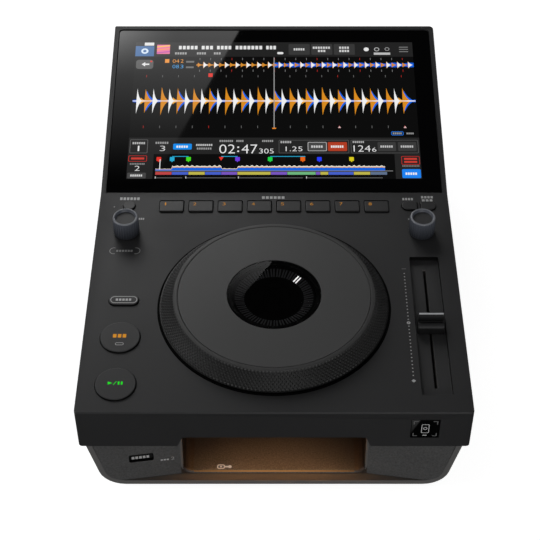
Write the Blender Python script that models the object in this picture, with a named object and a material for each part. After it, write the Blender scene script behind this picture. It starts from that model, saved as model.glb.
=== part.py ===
"""Tabletop DJ player: a deck with a jog wheel, a raised touch screen, and a base with a lit USB bay.

Lengths are in metres. X runs to the right, Y to the back and Z up. The origin is on the surface
that the player stands on, under the middle of its outline.
"""

import math

import bmesh
import bpy
from mathutils import Matrix, Vector

# Fits
SEAT_GAP = 0.0003
BUTTON_GAP = 0.0005
RUNNING_GAP = 0.0004
OVERRUN = 0.004

# Jog wheel, radii from its own axis
JOG_BASE_RADIUS = 0.0779
JOG_BASE_RISE = 0.0007
JOG_BASE_FLANGE = 0.0017
JOG_BASE_WALL = 0.0027
JOG_BASE_DEPTH = 0.020
JOG_BASE_FLOOR = 0.0025
JOG_SKIRT_INSET = 0.0011
JOG_HEIGHT = 0.0115
JOG_SHOULDER_RADIUS = 0.0674
JOG_BAND = 0.0028
JOG_LEDGE = 0.0040
JOG_PLATE_THICKNESS = 0.0025
JOG_RING_WALL = 0.0030
JOG_WEB_THICKNESS = 0.0025
JOG_WINDOW_RADIUS = 0.0312
JOG_WINDOW_THICKNESS = 0.0012
JOG_WINDOW_SINK = 0.0002
JOG_CUP_WALL = 0.0026
JOG_DISPLAY_DROP = 0.0034
JOG_DISPLAY_THICKNESS = 0.0018
JOG_POST_WALL = 0.0040
JOG_POST_FLANGE = 0.0030
JOG_BUSH_WALL = 0.0024
JOG_HUB_WALL = 0.0028
CODE_DISC_WIDTH = 0.0110
CODE_DISC_THICKNESS = 0.0008
SENSOR_LENGTH = 0.0100
SENSOR_WIDTH = 0.0060
SENSOR_GAP = 0.0006
HUB_CLEARANCE = 0.0055

# Deck and top case
SIDE_COLUMN = 0.0481
FRONT_MARGIN = 0.0144
JOG_TO_PADS = 0.0137
PAD_DEPTH = 0.0120
PADS_TO_CREASE = 0.0080
APRON_HEIGHT = 0.0345
CASE_WALL = 0.0030
CASE_FRONT_RADIUS = 0.0025
CASE_REAR_RADIUS = 0.0030
CASE_EDGE = 0.0008
CUTOUT_HALF_WIDTH = 0.0606
CUTOUT_RISE = 0.0097
CUTOUT_BLEND = 0.0028

# Screen
SCREEN_SLOPE = 0.1671
SCREEN_TILT = math.radians(10.16)
SCREEN_WALL = 0.0055
SCREEN_SIDE_LIP = 0.0036
SCREEN_TOP_LIP = 0.0040
SCREEN_FRONT_LIP = 0.0004
SCREEN_CORNER = 0.0030
GLASS_DROP = 0.0009
GLASS_THICKNESS = 0.0018
LCD_SIDE_BORDER = 0.0078
LCD_END_BORDER = 0.0070
LCD_THICKNESS = 0.0050
BRACKET_THICKNESS = 0.0016
BRACKET_LAP = 0.0045

# Controls in the side columns, measured in from the case side or back from the front edge
KNOB_COLUMN_INSET = 0.0218
BUTTON_COLUMN_INSET = 0.0247
PLAY_BACK = 0.0231
CUE_TO_PLAY = 0.0400
SHIFT_TO_CUE = 0.0335
KNOB_TO_PADS = 0.0265
PLAY_RADIUS = 0.0131
PLAY_TRAVEL = 0.0010
SHIFT_LENGTH = 0.0200
SHIFT_WIDTH = 0.0086
DELETE_RADIUS = 0.0042
SMALL_KEY_LENGTH = 0.0109
SMALL_KEY_WIDTH = 0.0084
SMALL_KEY_CORNER = 0.0006
SMALL_KEY_SPACE = 0.0026
KEY_RISE = 0.0012
KEY_EDGE = 0.0003
KEY_FLANGE = 0.0006
KEY_FLANGE_THICKNESS = 0.0012
KEY_STEM = 0.0018
KEY_TRAVEL = 0.0008
ROW_TO_KEYS = 0.00975
PAD_SPACE = 0.00395
PAD_CORNER = 0.0008

# Knobs and encoders
KNOB_TOP_RADIUS = 0.0090
KNOB_FOOT_RADIUS = 0.00915
KNOB_TOP = 0.0150
KNOB_FOOT = 0.0008
KNOB_ROUND = 0.0010
KNOB_DISH_RADIUS = 0.0062
KNOB_DISH_DEPTH = 0.0020
KNOB_CROWN = 0.0018
KNOB_PUSH = 0.0005
SHAFT_RADIUS = 0.0030
ENCODER_WIDTH = 0.0125
ENCODER_HEIGHT = 0.0066
PLUNGER_HEIGHT = 0.0014

# Tempo fader
FADER_INSET = 0.0221
FADER_FRONT_MARGIN = 0.0146
FADER_TO_KNOB = 0.0250
FADER_TRAY_WIDTH = 0.0202
FADER_TRAY_CORNER = 0.0012
FADER_TRAY_DEPTH = 0.0040
FADER_TRAY_FLOOR = 0.0015
FADER_TRAY_FLANGE = 0.0025
FADER_END_MARGIN = 0.0087
FADER_SLOT_WIDTH = 0.0022
FADER_LEVER_WIDTH = 0.0012
FADER_LEVER_LENGTH = 0.0040
FADER_CAP_WIDTH = 0.0172
FADER_CAP_LENGTH = 0.0140
FADER_CAP_SKIRT = 0.0042
FADER_CAP_LIP = 0.0012
FADER_CAP_FIN = 0.0020
FADER_CAP_TOP = 0.0090
FADER_CAP_VALLEY = 0.0022
FADER_SOCKET_DEPTH = 0.0032
FADER_BODY_WIDTH = 0.0110
FADER_BODY_HEIGHT = 0.0110
FADER_BODY_END = 0.0060
FADER_BODY_FLOOR = 0.0020

# Phone-touch tile in the apron
TILE_SIDE = 0.0180
TILE_THICKNESS = 0.0012
TILE_INSET = 0.0300
TILE_DROP = 0.0068
TILE_CORNER = 0.0008

# Base
BASE_HEIGHT = 0.0498
BASE_FRONT_SET = 0.0070
BASE_REAR_SET = 0.0120
BASE_SIDE_SET = 0.0015
BASE_TAPER = math.radians(12.5)
BASE_CORNER = 0.0172
BASE_WALL = 0.0038
BASE_FLOOR = 0.0040
BASE_REAR_WALL = 0.0030
FOOT_HEIGHT = 0.0050
FOOT_RADIUS = 0.0095
FOOT_EDGE = 0.0010
FOOT_SIDE_INSET = 0.0420
FOOT_END_INSET = 0.0330

# Front panel and USB bay
PANEL_WALL = 0.0025
WING_RECESS = 0.0004
BAY_SET = 0.0054
BAY_LIP = 0.0018
BAY_FLARE = 0.0018
BAY_CORNER = 0.0062
BAY_DEPTH = 0.0520
ROOF_FRONT_GAP = 0.0003
CEILING_STEP = 0.0003
LIGHT_LENGTH = 0.0960
LIGHT_WIDTH = 0.0060
LIGHT_HEIGHT = 0.0022
LIGHT_BACK = 0.0060
USB_OFFSET = -0.0330
USB_HEIGHT = 0.0180
USB_BODY = (0.0150, 0.0160, 0.0076)
USB_MOUTH = (0.0126, 0.0120, 0.0052)
EJECT_LENGTH = 0.0154
EJECT_WIDTH = 0.0062
EJECT_OUT = 0.0880
EJECT_UP = 0.0203
EJECT_SINK = 0.0016
EJECT_CORNER = 0.0008

# Boards and supply
CONTROL_BOARD_DROP = 0.0110
BOARD_THICKNESS = 0.0016
BOARD_MARGIN = 0.0040
SWITCH_SIDE = 0.0060
SWITCH_HEIGHT = 0.0035
BOARD_POST_RADIUS = 0.0030
BOARD_POST_OUT = 0.0051
BOARD_POST_FRONT = 0.0280
BOARD_POST_TO_KNOB = 0.0085
BOARD_POST_INSET = 0.0060
MAIN_BOARD_RISE = 0.0040
MAIN_BOARD_WIDTH = 0.1200
MAIN_BOARD_LEFT = -0.0980
MAIN_BOARD_FRONT_GAP = 0.0200
SUPPLY_SIZE = (0.0620, 0.1000, 0.0280)
SUPPLY_GAP = 0.0060

# Rear sockets: their middles along X, on the rear wall
PHONO_RADIUS = 0.0042
PHONO_HOLE_RADIUS = 0.0016
PHONO_BODY = 0.0100
PHONO_LENGTH = 0.0090
PHONO_LEFT_X = -0.0860
PHONO_PITCH = 0.0140
NETWORK_X = -0.0300
NETWORK_BODY = (0.0160, 0.0190, 0.0136)
NETWORK_MOUTH = (0.0118, 0.0120, 0.0080)
INLET_X = 0.0620
INLET_BODY = (0.0280, 0.0180, 0.0200)
INLET_MOUTH = (0.0242, 0.0150, 0.0164)
INLET_CORNER = 0.0030
INLET_PIN = (0.0020, 0.0130, 0.0040)
INLET_PIN_SPACE = 0.0070
INLET_PIN_DROP = 0.0020
INLET_RISE = 0.0220
POWER_X = 0.0200
POWER_RADIUS = 0.0055
POWER_LENGTH = 0.0120
POWER_RISE = 0.0020

# Fineness of round shapes
JOG_SEGMENTS = 72
INNER_SEGMENTS = 48
ROUND_SEGMENTS = 32
SMALL_SEGMENTS = 20
CORNER_STEPS = 4
ARC_STEPS = 6
PILL_SHARE = 0.98
HALF_SHARE = 0.5

# Chips on the main board: place across and along it, half width and height, as shares
CHIP_SHARES = ((0.45, 0.30, 0.10, 0.06), (0.25, 0.62, 0.06, 0.04), (0.70, 0.66, 0.07, 0.10))

# Sizes that follow
CASE_HALF = JOG_BASE_RADIUS + SIDE_COLUMN
PAD_FROM_FRONT = FRONT_MARGIN + 2 * JOG_BASE_RADIUS + JOG_TO_PADS + PAD_DEPTH / 2
DECK_LENGTH = PAD_FROM_FRONT + PAD_DEPTH / 2 + PADS_TO_CREASE
CASE_DEPTH = DECK_LENGTH + SCREEN_SLOPE * math.cos(SCREEN_TILT)
FRONT_Y = -CASE_DEPTH / 2
REAR_Y = CASE_DEPTH / 2
CREASE_Y = FRONT_Y + DECK_LENGTH
BASE_BOTTOM = FOOT_HEIGHT
BASE_TOP = BASE_BOTTOM + BASE_HEIGHT
CASE_BOTTOM = BASE_TOP + SEAT_GAP
DECK_Z = CASE_BOTTOM + APRON_HEIGHT
DECK_UNDER = DECK_Z - CASE_WALL
JOG_Y = FRONT_Y + FRONT_MARGIN + JOG_BASE_RADIUS
PAD_Y = FRONT_Y + PAD_FROM_FRONT
KNOB_X = CASE_HALF - KNOB_COLUMN_INSET
KNOB_Y = PAD_Y - KNOB_TO_PADS
BUTTON_X = -(CASE_HALF - BUTTON_COLUMN_INSET)
PLAY_Y = FRONT_Y + PLAY_BACK
CUE_Y = PLAY_Y + CUE_TO_PLAY
SHIFT_Y = CUE_Y + SHIFT_TO_CUE
SWITCH_TOP = CONTROL_BOARD_DROP - SWITCH_HEIGHT
FADER_X = CASE_HALF - FADER_INSET
TRAY_FRONT_Y = FRONT_Y + FADER_FRONT_MARGIN
TRAY_REAR_Y = KNOB_Y - FADER_TO_KNOB
FADER_Y = (TRAY_FRONT_Y + TRAY_REAR_Y) / 2
TRAY_HALF = (TRAY_REAR_Y - TRAY_FRONT_Y) / 2
SLOT_HALF = TRAY_HALF - FADER_END_MARGIN
BASE_FRONT_Y = FRONT_Y + BASE_FRONT_SET
BASE_REAR_Y = REAR_Y - BASE_REAR_SET
BASE_TOP_HALF = CASE_HALF - BASE_SIDE_SET
FLOOR_Z = BASE_BOTTOM + BASE_FLOOR
BASE_LOW_HALF = BASE_TOP_HALF - BASE_HEIGHT * math.tan(BASE_TAPER)
BASE_FLAT_HALF = BASE_LOW_HALF - BASE_CORNER * math.tan((math.pi / 2 - BASE_TAPER) / 2)
BAY_HALF_WIDTH = CUTOUT_HALF_WIDTH
BAY_EDGE = BAY_HALF_WIDTH + BAY_FLARE
BAY_FRONT_Y = BASE_FRONT_Y + WING_RECESS + BAY_SET
BAY_BACK_Y = BAY_FRONT_Y + BAY_DEPTH
BAY_TOP = CASE_BOTTOM + CUTOUT_RISE
WING_SWEEP = BAY_SET / (BASE_FLAT_HALF - BAY_EDGE)
WING_LEAN = WING_SWEEP * (BASE_TOP_HALF - BASE_FLAT_HALF) / BASE_HEIGHT
MAIN_BOARD_Z = FLOOR_Z + MAIN_BOARD_RISE
BOARD_TOP = MAIN_BOARD_Z + BOARD_THICKNESS
JOG_WALL_RADIUS = JOG_BASE_RADIUS - JOG_BASE_FLANGE
GLASS_HALF = CASE_HALF - SCREEN_SIDE_LIP - SEAT_GAP
GLASS_MIDDLE = (SCREEN_SLOPE - SCREEN_TOP_LIP + SCREEN_FRONT_LIP) / 2
GLASS_HALF_DEPTH = (SCREEN_SLOPE - SCREEN_TOP_LIP - SCREEN_FRONT_LIP) / 2 - SEAT_GAP
GLASS_UNDER = -GLASS_DROP - GLASS_THICKNESS
LCD_HALF = GLASS_HALF - LCD_SIDE_BORDER
LCD_HALF_DEPTH = GLASS_HALF_DEPTH - LCD_END_BORDER
LCD_TOP = GLASS_UNDER - SEAT_GAP


# Materials

def finish(name, colour, roughness, metallic=0.0):
    """A Principled material of one colour."""
    paint = bpy.data.materials.new(name)
    paint.use_nodes = True
    shader = paint.node_tree.nodes["Principled BSDF"]
    shader.inputs["Base Color"].default_value = (*colour, 1.0)
    shader.inputs["Roughness"].default_value = roughness
    shader.inputs["Metallic"].default_value = metallic
    paint.diffuse_color = (*colour, 1.0)
    return paint


# Outlines

def circle(radius, height, segments=ROUND_SEGMENTS, middle=(0.0, 0.0)):
    """Points of a circle at one height, anticlockwise from +X."""
    turn = 2 * math.pi / segments
    return [
        (middle[0] + radius * math.cos(k * turn), middle[1] + radius * math.sin(k * turn), height)
        for k in range(segments)
    ]


def rounded(half_x, half_y, radii, height, middle=(0.0, 0.0)):
    """A rectangle with round corners, given as one radius or as four from the +X +Y corner round."""
    if isinstance(radii, float):
        radii = (radii,) * 4
    points = []
    for quarter, (side_x, side_y) in enumerate(((1, 1), (-1, 1), (-1, -1), (1, -1))):
        radius = min(radii[quarter], PILL_SHARE * min(half_x, half_y))
        for k in range(CORNER_STEPS + 1):
            angle = (quarter + k / CORNER_STEPS) * math.pi / 2
            points.append((
                middle[0] + side_x * (half_x - radius) + radius * math.cos(angle),
                middle[1] + side_y * (half_y - radius) + radius * math.sin(angle),
                height,
            ))
    return points


def along_x(outline, x):
    """An outline of (y, z) points placed at one x."""
    return [(x, y, z) for y, z in outline]


def along_y(outline, y):
    """An outline of (x, z) points placed at one y."""
    return [(x, y, z) for x, z in outline]


# Solids

def add_loft(shape, loops, ring=False):
    """Joins each loop of points to the next. The first and last are capped, or joined on a ring."""
    rows = [[shape.verts.new(point) for point in loop] for loop in loops]
    pairs = list(zip(rows, rows[1:]))
    if ring:
        pairs.append((rows[-1], rows[0]))
    else:
        shape.faces.new(rows[0])
        shape.faces.new(rows[-1])
    count = len(rows[0])
    for low, high in pairs:
        for k in range(count):
            after = (k + 1) % count
            shape.faces.new((low[k], low[after], high[after], high[k]))


def add_box(shape, low, high):
    """A box between two corners."""
    middle = ((low[0] + high[0]) / 2, (low[1] + high[1]) / 2)
    half_x = (high[0] - low[0]) / 2
    half_y = (high[1] - low[1]) / 2
    corners = [(-half_x, -half_y), (half_x, -half_y), (half_x, half_y), (-half_x, half_y)]
    add_loft(shape, [
        [(middle[0] + x, middle[1] + y, z) for x, y in corners]
        for z in (low[2], high[2])
    ])


def piece(name, shape, paint, place=(0.0, 0.0, 0.0), turn=(0.0, 0.0, 0.0), smooth=False):
    """Makes an object of the shape, with its faces outwards."""
    bmesh.ops.recalc_face_normals(shape, faces=shape.faces)
    mesh = bpy.data.meshes.new(name)
    shape.to_mesh(mesh)
    shape.free()
    if paint:
        mesh.materials.append(paint)
    if smooth:
        mesh.shade_smooth()
        mesh.set_sharp_from_angle(angle=math.radians(35))
    made = bpy.data.objects.new(name, mesh)
    made.location = place
    made.rotation_euler = turn
    bpy.context.scene.collection.objects.link(made)
    return made


def lofted(name, loops, paint, place=(0.0, 0.0, 0.0), turn=(0.0, 0.0, 0.0), ring=False, smooth=False):
    shape = bmesh.new()
    add_loft(shape, loops, ring)
    return piece(name, shape, paint, place, turn, smooth)


def turned(name, profile, paint, place, segments=ROUND_SEGMENTS, ring=False):
    """A profile of (radius, height) points turned about the piece's own Z axis."""
    loops = [circle(radius, height, segments) for radius, height in profile]
    return lofted(name, loops, paint, place, ring=ring, smooth=True)


def boxed(name, low, high, paint, place=(0.0, 0.0, 0.0), turn=(0.0, 0.0, 0.0)):
    shape = bmesh.new()
    add_box(shape, low, high)
    return piece(name, shape, paint, place, turn)


def combine(target, helper, operation):
    """A live Boolean between a piece and a helper, which stays out of sight."""
    helper.hide_render = True
    helper.display_type = "WIRE"
    step = target.modifiers.new(helper.name, "BOOLEAN")
    step.operation = operation
    step.solver = "EXACT"
    step.object = helper


def cut(target, shape, place=(0.0, 0.0, 0.0), turn=(0.0, 0.0, 0.0)):
    name = f"{target.name}_cutter_{len(target.modifiers)}"
    combine(target, piece(name, shape, None, place, turn), "DIFFERENCE")


def join(target, shape, place=(0.0, 0.0, 0.0), turn=(0.0, 0.0, 0.0)):
    name = f"{target.name}_addition_{len(target.modifiers)}"
    combine(target, piece(name, shape, None, place, turn), "UNION")


# Keys: one table holds each deck key's place and outline

def key_outline(key, grow, height, middle=(0.0, 0.0)):
    """The key's outline, grown on every side, at a height above its own origin."""
    if key["radii"] is None:
        return circle(key["half_x"] + grow, height, ROUND_SEGMENTS, middle)
    radii = tuple(max(radius + grow, KEY_EDGE) for radius in key["radii"])
    return rounded(key["half_x"] + grow, key["half_y"] + grow, radii, height, middle)


def outline(name, half_x, half_y, radii):
    """A named round or rounded outline: no radii means a circle."""
    return {"name": name, "half_x": half_x, "half_y": half_y, "radii": radii}


def deck_key(name, x, y, half_x, half_y, radii, travel=KEY_TRAVEL):
    """A key of the deck: its outline, its place and how far it travels."""
    return {**outline(name, half_x, half_y, radii), "x": x, "y": y, "travel": travel}


def deck_keys():
    """Every key on the deck: the pad row, the small keys beside it, and the left column."""
    pair_middle = SMALL_KEY_LENGTH / 2 + SMALL_KEY_SPACE / 2
    row_half = KNOB_X - SMALL_KEY_LENGTH - SMALL_KEY_SPACE / 2 - ROW_TO_KEYS
    pad_half = (2 * row_half - 7 * PAD_SPACE) / 16
    pitch = 2 * pad_half + PAD_SPACE
    keys = []
    for number in range(8):
        x = -row_half + pad_half + number * pitch
        name = f"hot_cue_pad_{number + 1}"
        keys.append(deck_key(name, x, PAD_Y, pad_half, PAD_DEPTH / 2, (PAD_CORNER,) * 4))
    keys.append(deck_key("delete_button", -KNOB_X, PAD_Y, DELETE_RADIUS, DELETE_RADIUS, None))
    round_end = SMALL_KEY_WIDTH / 2
    half = SMALL_KEY_LENGTH / 2
    left_radii = (SMALL_KEY_CORNER, round_end, round_end, SMALL_KEY_CORNER)
    right_radii = (round_end, SMALL_KEY_CORNER, SMALL_KEY_CORNER, round_end)
    keys.append(deck_key("back_button", KNOB_X - pair_middle, PAD_Y, half, round_end, left_radii))
    keys.append(deck_key("tag_button", KNOB_X + pair_middle, PAD_Y, half, round_end, right_radii))
    shift_end = SHIFT_WIDTH / 2
    keys.append(deck_key("shift_button", BUTTON_X, SHIFT_Y, SHIFT_LENGTH / 2, shift_end, (shift_end,) * 4))
    keys.append(deck_key("cue_button", BUTTON_X, CUE_Y, PLAY_RADIUS, PLAY_RADIUS, None, PLAY_TRAVEL))
    keys.append(deck_key("play_button", BUTTON_X, PLAY_Y, PLAY_RADIUS, PLAY_RADIUS, None, PLAY_TRAVEL))
    return keys


def key_solid(key, paint, rise, wall, stem_end, place, turn=(0.0, 0.0, 0.0)):
    """A key cap with a chamfered face, a flange under the wall and a stem down to its switch."""
    flange_top = -wall - SEAT_GAP
    flange_low = flange_top - KEY_FLANGE_THICKNESS
    flange_grow = BUTTON_GAP + KEY_FLANGE
    loops = [
        key_outline(key, -KEY_EDGE, rise),
        key_outline(key, 0.0, rise - KEY_EDGE),
        key_outline(key, 0.0, flange_top),
        key_outline(key, flange_grow, flange_top),
        key_outline(key, flange_grow, flange_low),
    ]
    count = len(loops[0])
    loops.append(circle(KEY_STEM, flange_low, count))
    loops.append(circle(KEY_STEM, stem_end, count))
    return lofted(key["name"], loops, paint, place, turn, smooth=True)


# Case

def cutout_outline(low):
    """The raised middle of the apron's lower edge: a flat top between two smooth S curves."""
    outer = CUTOUT_HALF_WIDTH + CUTOUT_BLEND
    steps = 2 * ARC_STEPS
    rise = [
        (outer - 2 * CUTOUT_BLEND * k / steps,
         CASE_BOTTOM + CUTOUT_RISE * (1 - math.cos(math.pi * k / steps)) / 2)
        for k in range(steps + 1)
    ]
    left = [(-x, z) for x, z in rise]
    return [(-outer, low)] + left + rise[::-1] + [(outer, low)]


def screen_pocket(shape, half_x, half_y, radii, low, high):
    """A round-cornered block in the screen's own tilted frame, for its pocket and openings."""
    add_loft(shape, [
        rounded(half_x, half_y, radii, height, (0.0, GLASS_MIDDLE)) for height in (low, high)
    ])


def top_case(paint, keys):
    """The slab: deck, apron, sides and screen surround, hollow below and open for the controls."""
    top_z = DECK_Z + SCREEN_SLOPE * math.sin(SCREEN_TILT)
    profile = [
        (FRONT_Y, CASE_BOTTOM), (REAR_Y, CASE_BOTTOM), (REAR_Y, top_z), (CREASE_Y, DECK_Z), (FRONT_Y, DECK_Z),
    ]
    shape = bmesh.new()
    add_loft(shape, [along_x(profile, -CASE_HALF), along_x(profile, CASE_HALF)])
    for end_y, radius in ((FRONT_Y, CASE_FRONT_RADIUS), (REAR_Y, CASE_REAR_RADIUS)):
        upright = [
            edge for edge in shape.edges
            if all(abs(v.co.y - end_y) < SEAT_GAP for v in edge.verts)
            and abs(edge.verts[0].co.x - edge.verts[1].co.x) < SEAT_GAP
        ]
        bmesh.ops.bevel(
            shape, geom=upright, offset=radius, segments=CORNER_STEPS, affect="EDGES", profile=HALF_SHARE,
        )
    case = piece("top_case", shape, paint, smooth=True)
    edge = case.modifiers.new("edge_round", "BEVEL")
    edge.width = CASE_EDGE
    edge.segments = 1
    edge.limit_method = "ANGLE"
    edge.angle_limit = math.radians(40)

    under = DECK_Z - SCREEN_WALL / math.cos(SCREEN_TILT)
    inner_rear = REAR_Y - CASE_WALL
    inner_half = CASE_HALF - CASE_WALL
    cavity = [
        (FRONT_Y + CASE_WALL, CASE_BOTTOM - OVERRUN), (inner_rear, CASE_BOTTOM - OVERRUN),
        (inner_rear, under + (inner_rear - CREASE_Y) * math.tan(SCREEN_TILT)),
        (CREASE_Y, under), (CREASE_Y, DECK_UNDER), (FRONT_Y + CASE_WALL, DECK_UNDER),
    ]
    hollow = bmesh.new()
    add_loft(hollow, [along_x(cavity, -inner_half), along_x(cavity, inner_half)])
    cut(case, hollow)

    posts = bmesh.new()
    for x, y in board_posts():
        add_loft(posts, [
            circle(BOARD_POST_RADIUS, height, SMALL_SEGMENTS, (x, y))
            for height in (DECK_Z - CONTROL_BOARD_DROP + SEAT_GAP, DECK_UNDER + CASE_WALL / 2)
        ])
    join(case, posts)

    low = DECK_UNDER - OVERRUN
    high = DECK_Z + OVERRUN
    holes = bmesh.new()
    for key in keys:
        middle = (key["x"], key["y"])
        add_loft(holes, [key_outline(key, BUTTON_GAP, height, middle) for height in (low, high)])
    for side in (-1, 1):
        middle = (side * KNOB_X, KNOB_Y)
        add_loft(holes, [
            circle(SHAFT_RADIUS + BUTTON_GAP, height, SMALL_SEGMENTS, middle) for height in (low, high)
        ])
    jog_middle = (0.0, JOG_Y)
    add_loft(holes, [
        circle(JOG_WALL_RADIUS + SEAT_GAP, height, JOG_SEGMENTS, jog_middle) for height in (low, high)
    ])
    tray_middle = (FADER_X, FADER_Y)
    add_loft(holes, [
        rounded(FADER_TRAY_WIDTH / 2, TRAY_HALF, FADER_TRAY_CORNER, height, tray_middle)
        for height in (low, high)
    ])
    cut(case, holes)

    pocket = bmesh.new()
    radii = (SCREEN_CORNER, SCREEN_CORNER, KEY_EDGE, KEY_EDGE)
    screen_pocket(pocket, GLASS_HALF + SEAT_GAP, GLASS_HALF_DEPTH + SEAT_GAP, radii, LCD_TOP, OVERRUN)
    cut(case, pocket, (0.0, CREASE_Y, DECK_Z), (SCREEN_TILT, 0.0, 0.0))
    window = bmesh.new()
    below = -SCREEN_WALL - OVERRUN
    screen_pocket(window, LCD_HALF + SEAT_GAP, LCD_HALF_DEPTH + SEAT_GAP, KEY_EDGE, below, 0.0)
    cut(case, window, (0.0, CREASE_Y, DECK_Z), (SCREEN_TILT, 0.0, 0.0))

    arch = bmesh.new()
    arch_outline = cutout_outline(CASE_BOTTOM - OVERRUN)
    add_loft(arch, [along_y(arch_outline, y) for y in (FRONT_Y - OVERRUN, FRONT_Y + CASE_WALL + OVERRUN)])
    cut(case, arch)
    recess = bmesh.new()
    recess_half = TILE_SIDE / 2 + SEAT_GAP
    add_loft(recess, [
        rounded(recess_half, recess_half, TILE_CORNER, height)
        for height in (-TILE_THICKNESS - SEAT_GAP, OVERRUN)
    ])
    cut(case, recess, tile_place(), (math.pi / 2, 0.0, 0.0))


def tile_place():
    """The middle of the phone-touch tile, on the apron's face."""
    return (CASE_HALF - TILE_INSET, FRONT_Y, DECK_Z - TILE_DROP - TILE_SIDE / 2)


def board_posts():
    """Places of the posts that hang the control board from the deck, clear of jog, keys and fader."""
    post_x = JOG_BASE_RADIUS + BOARD_POST_OUT
    return [
        (side * post_x, y)
        for side in (-1, 1)
        for y in (FRONT_Y + BOARD_POST_FRONT, KNOB_Y - BOARD_POST_TO_KNOB)
    ]


def base_section(inset, floor, top):
    """The base across its width: sides that taper down to round corners and a flat underside."""
    side_inset = inset / math.cos(BASE_TAPER)
    low = BASE_BOTTOM + floor
    radius = BASE_CORNER - inset
    turn = math.pi / 2 - BASE_TAPER
    low_half = BASE_TOP_HALF - side_inset - (BASE_TOP - low) * math.tan(BASE_TAPER)
    top_half = BASE_TOP_HALF - side_inset + (top - BASE_TOP) * math.tan(BASE_TAPER)
    middle_x = low_half - radius * math.tan(turn / 2)
    right = [(top_half, top)]
    for k in range(ARC_STEPS + 1):
        angle = -BASE_TAPER - turn * k / ARC_STEPS
        right.append((middle_x + radius * math.cos(angle), low + radius + radius * math.sin(angle)))
    return right + [(-x, z) for x, z in reversed(right)]


def bottom_case(paint, holes):
    """The tray-shaped base: open at the front, where the front panel closes it, with a drilled rear wall."""
    outer = base_section(0.0, 0.0, BASE_TOP)
    inner = base_section(BASE_WALL, BASE_FLOOR, BASE_TOP + OVERRUN)
    rings = [along_y(outer, BASE_FRONT_Y), along_y(outer, BASE_REAR_Y)]
    case = lofted("bottom_case", rings, paint, smooth=True)
    hollow = bmesh.new()
    inner_rear = BASE_REAR_Y - BASE_REAR_WALL
    add_loft(hollow, [along_y(inner, BASE_FRONT_Y - OVERRUN), along_y(inner, inner_rear)])
    cut(case, hollow)
    posts = bmesh.new()
    low, high = main_board_corners()
    for x in (low[0] + BOARD_POST_INSET, high[0] - BOARD_POST_INSET):
        for y in (low[1] + BOARD_POST_INSET, high[1] - BOARD_POST_INSET):
            add_loft(posts, [
                circle(BOARD_POST_RADIUS, height, SMALL_SEGMENTS, (x, y))
                for height in (FLOOR_Z - BASE_FLOOR / 2, MAIN_BOARD_Z - SEAT_GAP)
            ])
    join(case, posts)
    for shape, place in holes:
        cut(case, shape, place, (-math.pi / 2, 0.0, 0.0))


def feet(paint):
    """Four round rubber feet under the base."""
    foot_x = CASE_HALF - FOOT_SIDE_INSET
    profile = [
        (FOOT_RADIUS - FOOT_EDGE, 0.0), (FOOT_RADIUS, FOOT_EDGE), (FOOT_RADIUS, FOOT_HEIGHT - SEAT_GAP),
    ]
    for end, y in (("front", FRONT_Y + FOOT_END_INSET), ("rear", REAR_Y - FOOT_END_INSET)):
        for side, x in (("left", -foot_x), ("right", foot_x)):
            turned(f"foot_{end}_{side}", profile, paint, (x, y, 0.0), SMALL_SEGMENTS)


# Front panel and bay

def wing_y(x, z):
    """Where the wing's face lies: it sweeps back towards the bay and leans to stay flush with the rim."""
    out = max(abs(x) - BAY_EDGE, 0.0)
    return BAY_FRONT_Y - out * WING_SWEEP + (z - FLOOR_Z) * WING_LEAN


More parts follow.
